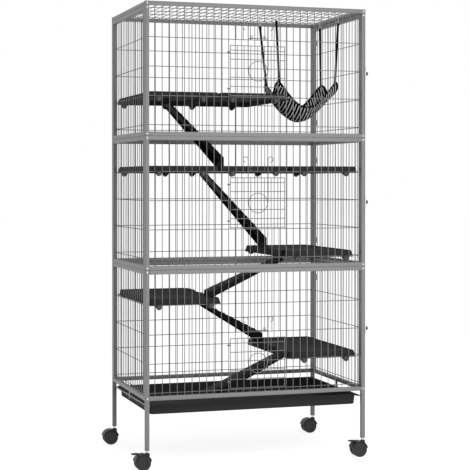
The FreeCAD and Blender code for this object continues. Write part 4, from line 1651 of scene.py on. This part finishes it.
@dataclass
class Tray:
    """The slide-out tray: flange, drafted walls and rounded floor."""

    palette: Palette
    rim_z: float = 0.217
    depth: float = 0.036
    flange: float = 0.017
    side_flange: float = 0.007
    flange_thickness: float = 0.003
    draft: float = 0.003
    skin: float = 0.0026
    play: float = 0.002
    corner: float = 0.010
    least_corner: float = 0.004
    corner_share: float = 0.2
    corner_steps: int = 8

    def loop(self, share: float, inset: float, z: float) -> Array:
        """The flange's outline drawn in by a share of the flange and a further inset.

        Args:
            share: share of the flange's width.
            inset: further inset in mm.
            z: height from the rim in mm.

        Returns:
            Points of the loop.
        """
        half_x = SIZES.inner_half_width - self.play - share * self.side_flange - inset * MM
        half_y = SIZES.inner_half_depth - self.play - share * self.flange - inset * MM
        corner = max(self.corner - self.corner_share * inset * MM, self.least_corner)
        plan = rounded_rectangle(half_x, half_y, corner, self.corner_steps)
        return points(plan[:, 0], plan[:, 1], self.rim_z + z * MM)

    def build(self) -> None:
        """Carry the section round the flange and close the floor above and below."""
        d, s = self.depth / MM, self.skin / MM
        t, slant = self.flange_thickness / MM, self.draft / MM
        outside = [
            (1, slant + 14, -d), (1, slant + 4, -d), (1, slant + 1.6, -d + 0.8), (1, slant - 0.3, -d + 3.0),
            (1, 0.5, -t - 1.5), (1, -0.4, -t - 0.3), (1, -1.6, -t),
            (0, 0.6, -t), (0, 0.1, -t + 0.4), (0, 0.0, -t + 0.9),
        ]
        inside = [
            (0, 0.0, -0.9), (0, 0.2, -0.3), (0, 0.8, 0.0),
            (1, s - 1.4, 0.0), (1, s - 0.4, -0.3), (1, s + 0.1, -1.2), (1, s + slant - 0.7, -d + s + 3.5),
            (1, s + slant + 0.8, -d + s + 1.0), (1, s + slant + 3.2, -d + s), (1, s + slant + 14, -d + s),
        ]
        shell = Shell()
        shell.loft(np.stack([self.loop(*point) for point in outside + inside]))
        settle(shell.build("bedding_tray", [self.palette.tray]), "tray", "tray_plastic", "tray")


# Hammock


@dataclass
class Hammock:
    """A striped cloth hung by four straps and wire hooks from the roof."""

    palette: Palette
    x: tuple[float, float] = (CENTRE_X + TOP_X - 0.002, SIZES.inner_half_width - 0.046)
    y: tuple[float, float] = (-0.134, 0.016)
    corner_z: float = 1.3290
    corner_rise: float = 0.0015
    sag_long: float = 0.1103
    sag_cross: float = 0.0643
    sag_middle: float = -0.0143
    long_power: float = 1.8
    cross_power: float = 2.8
    bulge: tuple[float, float] = (0.006, 0.012)
    lean: float = 0.3
    tip: float = 0.05
    tip_power: int = 8
    ripple: float = 0.0012
    ripple_waves: tuple[float, float, float] = (9.0, 2.0, 7.0)
    grid: int = 61
    thickness: float = 0.0018
    sharp: float = 80.0
    binding: tuple[float, float] = (0.0042, 0.0016)
    binding_inset: float = 0.0030
    binding_sides: int = 12
    inner_share: float = 0.94
    strap_half: float = 0.0042
    strap_thickness: float = 0.0020
    strap_corner: float = 0.0004
    strap_steps: int = 13
    strap_top: float = 0.003
    strap_foot: tuple[float, float, float] = (0.0035, 0.0012, 0.006)
    strap_loop: float = 0.0042
    strap_loop_rise: float = 0.0025
    strap_loop_sides: int = 20
    hook_x: tuple[float, float] = (4 * SIZES.pitch, 13 * SIZES.pitch)
    hook_y: tuple[float, float] = (-0.138, 0.042)
    hook_z: float = 1.5350
    hook_gap: float = 0.0028
    hook_wire: float = 0.0012
    hook_foot: float = 0.009
    hook_tail: float = 0.006
    eye_radius: float = 0.0055
    eye_rise: float = 0.004
    eye_wire: float = 0.001
    eye_sides: int = 24

    def surface(self, u: Array, v: Array) -> Array:
        """The hanging cloth.

        Height falls from the corners by a power of the place along each length, most in the middle, with
        faint ripples, and the lowest line leans to the rear. The side edges swell outward between their
        ends and their middle. Each corner is drawn in toward the middle by a high power of both places,
        which rounds it, and all is lifted by what this takes off the corners' height.

        Args:
            u: place along the width from -1 to 1.
            v: place along the depth from -1 to 1.

        Returns:
            Points of the cloth.
        """
        corner = np.abs(u * v) ** self.tip_power
        s, t = u * (1 - self.tip * corner), v * (1 - self.tip * corner)
        low = t - self.lean * (1 - t * t) * (1 - s ** 4)
        long_sag, cross_sag = 1 - np.abs(s) ** self.long_power, 1 - np.abs(low) ** self.cross_power
        drop = self.sag_long * long_sag + self.sag_cross * cross_sag + self.sag_middle * long_sag * cross_sag
        near = 1 - self.tip
        lift = self.sag_long * (1 - near ** self.long_power) + self.sag_cross * (1 - near ** self.cross_power)
        along, skew, across = self.ripple_waves
        ripple = self.ripple * np.sin(along * u + skew * v) * np.sin(across * v) * (1 - u * u)
        half_x, half_y = (self.x[1] - self.x[0]) / 2, (self.y[1] - self.y[0]) / 2
        swell = np.where(s < 0, self.bulge[0], self.bulge[1])
        x = (self.x[0] + self.x[1]) / 2 + half_x * s + swell * s ** 3 * 4 * t * t * (1 - t * t)
        y = (self.y[0] + self.y[1]) / 2 + half_y * t
        return points(x, y, self.corner_z + self.corner_rise - drop + lift + ripple)

    def build_cloth(self) -> None:
        """The cloth, with its own flat lengths as pattern coordinates, and the binding round its edge."""
        count, middle = self.grid, self.grid // 2
        side = np.linspace(-1, 1, count)
        u, v = np.meshgrid(side, side, indexing="ij")
        cloth_points = self.surface(u, v)
        step_u = np.linalg.norm(np.diff(cloth_points, axis=0), axis=-1)
        step_v = np.linalg.norm(np.diff(cloth_points, axis=1), axis=-1)
        along = np.concatenate([np.zeros((1, count)), np.cumsum(step_u, axis=0)], axis=0)
        across = np.concatenate([np.zeros((count, 1)), np.cumsum(step_v, axis=1)], axis=1)
        flat = np.stack([along - along[middle], across - across[:, [middle]]], axis=-1)
        index = np.arange(count * count).reshape(count, count)
        corners = [index[:-1, :-1], index[1:, :-1], index[1:, 1:], index[:-1, 1:]]
        shell = Shell()
        shell.add(cloth_points, [np.stack(corners, axis=-1).reshape(-1, 4)], uv=flat.reshape(-1, 2))
        cloth = shell.build("hammock_cloth_sheet", [self.palette.cloth], sharp=self.sharp)
        solid = cloth.modifiers.new("cloth thickness", "SOLIDIFY")
        solid.thickness, solid.offset = self.thickness, 0.0
        settle(cloth, "cage", "hammock_fabric", "hammock_cloth")
        edge = np.concatenate([index[:-1, 0], index[-1, :-1], index[:0:-1, -1], index[0, :0:-1]])
        inner = self.surface(self.inner_share * u, self.inner_share * v)
        hem_item = self.build_binding(cloth_points.reshape(-1, 3)[edge], inner.reshape(-1, 3)[edge])

    def build_binding(self, path: Array, inner: Array) -> bpy.types.Object:
        """The band sewn round the cloth: an ellipse carried along the edge, flat in the cloth's own plane.

        Args:
            path: the cloth's edge.
            inner: a point of the cloth inside each point of the edge.

        Returns:
            The piece.
        """
        tangent = np.roll(path, -1, axis=0) - np.roll(path, 1, axis=0)
        normal = unit(np.cross(tangent, inner - path))
        inward = unit(np.cross(normal, tangent))
        ring = circle(self.binding_sides) * self.binding + (self.binding_inset, 0.0)
        hem = Shell()
        hem.loft(sweep(path, ring, inward, normal), closed=True)
        hem_item = hem.build("hammock_binding", [self.palette.binding], sharp=self.sharp)
        settle(hem_item, "cage", "hammock_fabric")
        return hem_item

    def corners(self) -> list[tuple[int, int, float, float]]:
        """Signs of each corner across the width and the depth, and where its hook hangs."""
        hooks = itertools.product(zip(SIGNS, self.hook_x), zip(SIGNS, self.hook_y))
        return [(i, j, x, y) for (i, x), (j, y) in hooks]

    def build_straps(self) -> None:
        """Flat bands from each hook down to its corner, with a loop round the hook's foot."""
        shell = Shell()
        plan = rounded_rectangle(self.strap_half, self.strap_thickness / 2, self.strap_corner, 2)
        share = np.linspace(0, 1, self.strap_steps)[:, None]
        loop = circle(self.strap_loop_sides, self.strap_loop)
        spokes = points(0, loop[:, 0], loop[:, 1]) / self.strap_loop
        in_x, in_y, down = self.strap_foot
        for i, j, x, y in self.corners():
            x += self.hook_gap
            top = np.array([x, y, self.hook_z + self.strap_top])
            low = self.surface(np.array(float(i)), np.array(float(j))) + (-i * in_x, -j * in_y, -down)
            shell.loft(sweep(low + (top - low) * share, plan, X_AXIS, Y_AXIS))
            ring = points(x, y + loop[:, 0], self.hook_z + self.strap_loop_rise + loop[:, 1])
            shell.loft(sweep(ring, plan, X_AXIS, spokes), closed=True)
        item = shell.build("hammock_strap_bands", [self.palette.binding])
        settle(item, "cage", "webbing", "hammock_straps")

    def build_hooks(self) -> None:
        """Wire hooks over the roof wires, each ending in an eye for its strap."""
        shell = Shell()
        z, r = ROOF_Z + SIZES.wire_radius, self.hook_gap
        rise = np.linspace(self.hook_z + self.hook_foot, z, 8)[:-1]
        tail = np.linspace(z, z - self.hook_tail, 4)[1:]
        over = arc(0, math.pi, 15, r)
        for _, _, x, y in self.corners():
            bend = points(x + over[:, 0], y, z + over[:, 1])
            path = np.concatenate([points(x + r, y, rise), bend, points(x - r, y, tail)])
            add_path(shell, path, self.hook_wire)
            eye = upright_circle((x + r, y, self.hook_z + self.eye_rise), self.eye_radius, self.eye_sides)
            add_path(shell, eye, self.eye_wire, sides=8, closed=True)
        item = shell.build("hammock_wire_hooks", [self.palette.steel])
        settle(item, "cage", "latch_steel", "hammock_hooks")


# Casters and screws


CASTERS = (("front_left", -1, -1), ("front_right", 1, -1), ("rear_left", -1, 1), ("rear_right", 1, 1))


@dataclass
class Caster:
    """A twin wheel caster: hooded body with stem, wheel pair and, at the front, a brake tab."""

    palette: Palette
    label: str
    sign_x: int
    sign_y: int
    trail: float = 0.016
    wheel_radius: float = 0.026
    wheel_gap: float = 0.0008
    wheel_sides: int = 48
    half_span: float = 0.0203
    web_half: float = 0.0045
    web_inset: float = 0.0008
    web_ease: float = 0.0004
    web_turn: tuple[float, float] = (10.0, 170.0)
    hood_inner: float = 0.0276
    hood_outer: float = 0.0298
    hood_turn: tuple[float, float] = (10.5, 169.5)
    stem_radius: float = 0.004
    stem_embed: float = 0.001
    stem_top: tuple[float, float] = (0.0825, 0.0838)
    stem_taper: float = 0.0012
    stem_sides: int = 24
    neck_radius: float = 0.0095
    neck_foot: tuple[float, float] = (0.0445, 0.0455)
    neck_top: float = 0.058
    neck_sides: int = 32
    pivot_back: float = 0.015
    pivot_rise: float = 0.0036
    pin_half: float = 0.008
    pin_radius: float = 0.0012
    ear_radius: float = 0.0028
    ear_drop: float = 0.0075
    ear_y: tuple[float, float] = (-0.0074, 0.0094)
    ear_thickness: float = 0.002
    ear_ease: float = 0.0003
    tab_rise: float = 0.00095
    tab_corner_share: float = 0.7
    rib_x: tuple[float, ...] = (-0.014, -0.0165, -0.019)
    rib_half: float = 0.0055
    rib_rise: float = 0.0032
    rib_radius: float = 0.0004

    @property
    def leg(self) -> Array:
        """Foot point of the leg's axis on the floor."""
        return np.array([self.sign_x * SIZES.post_x, self.sign_y * SIZES.post_y, 0.0])

    @property
    def hub(self) -> Array:
        """Middle of the axle."""
        return self.leg + (-self.trail, 0.0, self.wheel_radius)

    @property
    def pivot(self) -> Array:
        """Middle of the brake tab's pin, over the hood behind its crown."""
        rise = math.sqrt(self.hood_outer ** 2 - self.pivot_back ** 2) + self.pivot_rise
        return self.hub + (-self.pivot_back, 0.0, rise)

    @property
    def has_brake(self) -> bool:
        """Whether the caster is one of the front two."""
        return self.sign_y < 0

    def build_wheels(self) -> None:
        """Both wheels on their axle: one section of radius and depth carried round the axle."""
        r, y1, y0 = self.wheel_radius, self.half_span, self.web_half + self.wheel_gap
        half = [
            (0.0012, y1 - 0.0022), (0.0042, y1 - 0.0022), (0.0047, y1 - 0.0030), (0.0120, y1 - 0.0030),
            (0.0128, y1 - 0.0026), (0.0134, y1 - 0.0006), (0.0140, y1 - 0.0001), (0.0205, y1 - 0.0001),
            (0.0212, y1 - 0.0009), (0.0222, y1 - 0.0009), (0.0229, y1 - 0.0002), (r - 0.0018, y1 - 0.0004),
            (r - 0.0005, y1 - 0.0014), (r, y1 - 0.0032), (r, y0 + 0.0022), (r - 0.0006, y0 + 0.0008),
            (r - 0.0020, y0), (0.0036, y0), (0.0029, y0 - 0.0004),
        ]
        profile = np.concatenate([np.array(half) * (1, -1), half[::-1]])
        shell = Shell()
        add_lathe(shell, profile, self.hub, Y_AXIS, self.wheel_sides)
        item = shell.build(f"twin_wheels_{self.label}", [self.palette.wheel])
        settle(item, f"wheels_{self.label}", "wheel_rubber", f"caster_wheels_{self.label}")

    def add_hood(self, shell: Shell) -> None:
        """The hood over both wheels: a shallow channel section carried round the axle.

        Args:
            shell: where the surfaces go.
        """
        outer, inner, span = self.hood_outer, self.hood_inner, self.half_span
        half = np.array([
            (inner, -span), (outer - 0.0012, -span),
            (outer - 0.0003, -span + 0.0006), (outer, -span + 0.0020)])
        section = np.concatenate([half, half[::-1] * (1, -1)])
        spokes = arc(*np.radians(self.hood_turn), 41)
        shell.loft(sweep(self.hub, section, points(spokes[:, 0], 0, spokes[:, 1]), Y_AXIS))

    def add_web(self, shell: Shell) -> None:
        """The plate between the wheels: an arc under the hood with an arm down to the axle.

        Args:
            shell: where the surfaces go.
        """
        crown = arc(*np.radians(self.web_turn), 33, self.hood_outer - self.web_inset)
        left = np.array([(-0.012, 0.005), (-0.012, -0.004), (-0.007, -0.009)])
        arm = np.concatenate([left, left[::-1] * (-1, 1)])
        origin = self.hub + (0.0, self.web_half, 0.0)
        add_prism(shell, np.concatenate([crown, arm]), origin, 2 * self.web_half, self.web_ease)

    def add_neck(self, shell: Shell) -> None:
        """The turned neck over the hood and the steel stem that goes up into the leg.

        Args:
            shell: where the surfaces go.
        """
        r, top, stem = self.neck_radius, self.neck_top, self.stem_radius
        foot, shoulder = self.neck_foot
        neck = [
            (r - 0.001, foot), (r, shoulder), (r, top - 0.0035), (r - 0.0008, top - 0.0026),
            (r - 0.0022, top - 0.0024), (r - 0.0026, top - 0.0004), (r - 0.0032, top), (stem, top),
        ]
        add_lathe(shell, neck, self.leg, Z_AXIS, self.neck_sides)
        end, tip = self.stem_top
        rod = [(stem, top - self.stem_embed), (stem, end), (stem - self.stem_taper, tip)]
        add_lathe(shell, rod, self.leg, Z_AXIS, self.stem_sides, finish=1)

    def add_ears(self, shell: Shell) -> None:
        """Two ears on the hood and the pin between them, which carry the brake tab.

        Args:
            shell: where the surfaces go.
        """
        pivot, r = self.pivot, self.ear_radius
        ear = np.concatenate([arc(0, math.pi, 11, r), [(-r, -self.ear_drop), (r, -self.ear_drop)]])
        for y in self.ear_y:
            add_prism(shell, ear, pivot + (0.0, y, 0.0), self.ear_thickness, self.ear_ease)
        reach = (0, self.pin_half, 0)
        add_rods(shell, pivot - reach, pivot + reach, self.pin_radius, 12)

    def build_body(self) -> None:
        """Hood, web, neck and stem as one piece, with the brake's ears where it has one."""
        shell = Shell()
        self.add_hood(shell)
        self.add_web(shell)
        self.add_neck(shell)
        if self.has_brake:
            self.add_ears(shell)
        item = shell.build(f"caster_hood_{self.label}", [self.palette.caster, self.palette.steel])
        settle(item, f"caster_{self.label}", "caster_plastic", f"caster_body_{self.label}")

    def build_brake(self) -> None:
        """The brake tab: a tongue that tapers to a rounded tip, with a barrel on the pin and three ribs."""
        shell = Shell()
        pivot = self.pivot
        half = np.array([(0.0015, -0.007), (0.0027, -0.007), (0.003, -0.0066)])
        add_lathe(shell, np.concatenate([half, half[::-1] * (1, -1)]), pivot, Y_AXIS, 20, closed=True)
        rings = []
        for x, half_y, half_z in (
            (-0.0026, 0.0069, 0.0026), (-0.012, 0.0069, 0.0026), (-0.019, 0.0068, 0.0025),
            (-0.0222, 0.0062, 0.0020), (-0.0229, 0.0056, 0.0013),
        ):
            plan = rounded_rectangle(half_y, half_z, self.tab_corner_share * half_z, 3)
            rings.append(pivot + points(x, -plan[:, 0], plan[:, 1] + self.tab_rise))
        shell.loft(np.stack(rings))
        for x in self.rib_x:
            start, end = (x, -self.rib_half, self.rib_rise), (x, self.rib_half, self.rib_rise)
            add_rods(shell, pivot + start, pivot + end, self.rib_radius)
        item = shell.build(f"brake_tab_{self.label}", [self.palette.caster])
        settle(item, f"brake_{self.label}", "caster_plastic", f"caster_brake_{self.label}")

    def build(self) -> None:
        """Build every piece of the caster."""
        self.build_wheels()
        self.build_body()
        if self.has_brake:
            self.build_brake()


@dataclass
class FrameScrews:
    """Domed screws on the posts and the studs under the turn plates."""

    palette: Palette
    radius: float = 0.0032
    head: float = 0.0016
    head_sides: int = 20
    head_shares: tuple[tuple[float, float], ...] = (
        (1, 0), (1, 0.25), (0.93, 0.6), (0.75, 0.88), (0.45, 1), (0.38, 0.6))
    half_seam: float = 0.00025
    stud: float = 0.002
    stud_ease: float = 0.0002
    stud_length: float = 0.0031
    stud_sides: int = 16

    def build(self) -> None:
        """Build all screws as one piece."""
        shell = Shell()
        half, top = SIZES.tube / 2, Section.UPPER.high
        dome = np.array(self.head_shares) * (self.radius, self.head)
        levels = [Section.LOWER.low + half, top - half, top - SIZES.roof_seam - 3 * half]
        for below in (Section.LOWER, Section.MIDDLE):
            seam = below.high + self.half_seam
            levels += [seam - half, seam + half]
        for sign_x, sign_y, z in itertools.product(SIGNS, SIGNS, levels):
            centre = (sign_x * SIZES.post_x, sign_y * SIZES.half_depth, z)
            add_lathe(shell, dome, centre, (0, sign_y, 0), self.head_sides)
        r, ease, length = self.stud, self.stud_ease, self.stud_length
        profile = [(r - ease, 0), (r, ease), (r, length - ease), (r - ease, length)]
        for section in Section:
            centre = (SIZES.half_width, -SIZES.post_y, section.middle)
            add_lathe(shell, profile, centre, X_AXIS, self.stud_sides)
        item = shell.build("post_screws", [self.palette.steel])
        settle(item, "cage", "latch_steel", "frame_screws")


# Studio


@dataclass(frozen=True)
class SoftBox:
    """A rectangular lamp: where it stands, the point that it faces, its width and height, and its watts."""

    name: str
    place: tuple[float, float, float]
    aim: tuple[float, float, float]
    size: tuple[float, float]
    power: float

    def build(self) -> None:
        """Stand the lamp in its place, turned to its aim."""
        data = bpy.data.lights.new(self.name, "AREA")
        data.shape, data.energy = "RECTANGLE", self.power
        data.size, data.size_y = self.size
        lamp = bpy.data.objects.new(self.name, data)
        lamp.location = self.place
        x, y, z = np.subtract(self.aim, self.place)
        lamp.rotation_euler = (math.pi / 2 + math.atan2(z, math.hypot(x, y)), 0.0, -math.atan2(x, y))
        bpy.context.scene.collection.objects.link(lamp)


LAMPS = (
    SoftBox("front_box", (0.25, -1.7, 1.0), (0.0, 0.0, 0.85), (1.3, 2.2), 15.8),
    SoftBox("left_box", (-2.2, -0.5, 1.2), (0.0, 0.0, 0.85), (1.2, 2.0), 0.6),
    SoftBox("top_box", (0.2, -0.2, 3.2), (0.0, 0.0, 0.8), (1.6, 1.6), 7.5),
)


@dataclass
class Studio:
    """Floor, lights, white surroundings and the camera."""

    lens: float = 105.82
    sensor: float = 36.0
    shift_y: float = -0.0803
    clip_end: float = 60.0
    place: tuple[float, float, float] = (-1.5294, -4.7632, 0.9713)
    yaw_deg: float = 17.776
    pitch_deg: float = 0.638
    white: tuple[float, float, float, float] = (1.0, 1.0, 1.0, 1.0)
    world_light: float = 0.22
    floor_half: float = 30.0
    floor_z: float = -0.0002
    floor_colour: tuple[float, float, float, float] = (0.86, 0.86, 0.86, 1.0)
    floor_roughness: float = 0.9
    floor_glow: float = 0.82

    def build_camera(self) -> None:
        """The camera at the photograph's viewing angle."""
        data = bpy.data.cameras.new("camera")
        data.lens, data.sensor_width, data.shift_y = self.lens, self.sensor, self.shift_y
        data.clip_end = self.clip_end
        camera = bpy.data.objects.new("camera", data)
        camera.location = self.place
        camera.rotation_euler = (math.radians(90 - self.pitch_deg), 0.0, math.radians(-self.yaw_deg))
        bpy.context.scene.collection.objects.link(camera)
        bpy.context.scene.camera = camera

    def build_world(self) -> None:
        """White surroundings for the camera, mirrors and glass, and a softer light for the rest."""
        world = bpy.data.worlds.new("studio")
        bpy.context.scene.world = world
        world.use_nodes = True
        n = Nodes(world.node_tree)
        strength = n.ramp(n.seen(), 0.0, 1.0, self.world_light, 1.0)
        n.feed_all(world.node_tree.nodes["Background"].inputs, {"Color": self.white, "Strength": strength})

    def build_floor(self) -> None:
        """A wide pale floor that keeps a faint shadow."""
        x, y = self.floor_half * np.array([(-1, 1, 1, -1), (-1, -1, 1, 1)])
        shell = Shell()
        shell.add(points(x, y, self.floor_z), [np.arange(4)[None]])
        n = MaterialNodes("pale_floor")
        n.dress(
            Base_Color=self.floor_colour, Roughness=self.floor_roughness, Specular_IOR_Level=0.0,
            Emission_Color=self.white, Emission_Strength=n.math("MULTIPLY", n.seen(), self.floor_glow))
        shell.build("floor", [n.material])

    def build(self) -> None:
        """Set the scene up."""
        bpy.context.scene.view_settings.view_transform = "Standard"
        self.build_camera()
        self.build_world()
        self.build_floor()
        for lamp in LAMPS:
            lamp.build()


def dress_nodes(palette: Palette, frame: dict) -> None:
    """Give the solids that stay in view their finishes.

    Args:
        palette: the finishes.
        frame: the loaded frame.
    """
    finishes = {
        "side_door_hinges": palette.frame,
        "tray_runner_left": palette.frame,
        "tray_runner_right": palette.frame,
        "leg_plugs": palette.knob,
    }
    for node, material in finishes.items():
        item = frame["nodes"][node]
        item.data.materials.clear()
        item.data.materials.append(material)


def main() -> None:
    """Load the frame, build every piece in order and report them."""
    logging.basicConfig(level=logging.INFO, format="%(message)s")
    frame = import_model()
    palette = Palette.make()
    Studio().build()
    for section in Section:
        for side in Side:
            WirePanel(palette, side, section).build()
        door = FrontDoor(palette, section)
        door.build_door()
        door.build_latch()
        SideLatch(palette, section).build()
    TopMesh(palette).build()
    for spot in SHELVES:
        Shelf(palette, spot).build()
    ShelfClamps(palette).build()
    for place in RAMPS:
        Ramp(palette, place).build()
    Tray(palette).build()
    hammock = Hammock(palette)
    hammock.build_straps()
    hammock.build_hooks()
    hammock.build_cloth()
    for label, sign_x, sign_y in CASTERS:
        Caster(palette, label, sign_x, sign_y).build()
    FrameScrews(palette).build()
    dress_nodes(palette, frame)


if __name__ == "__main__":
    main()
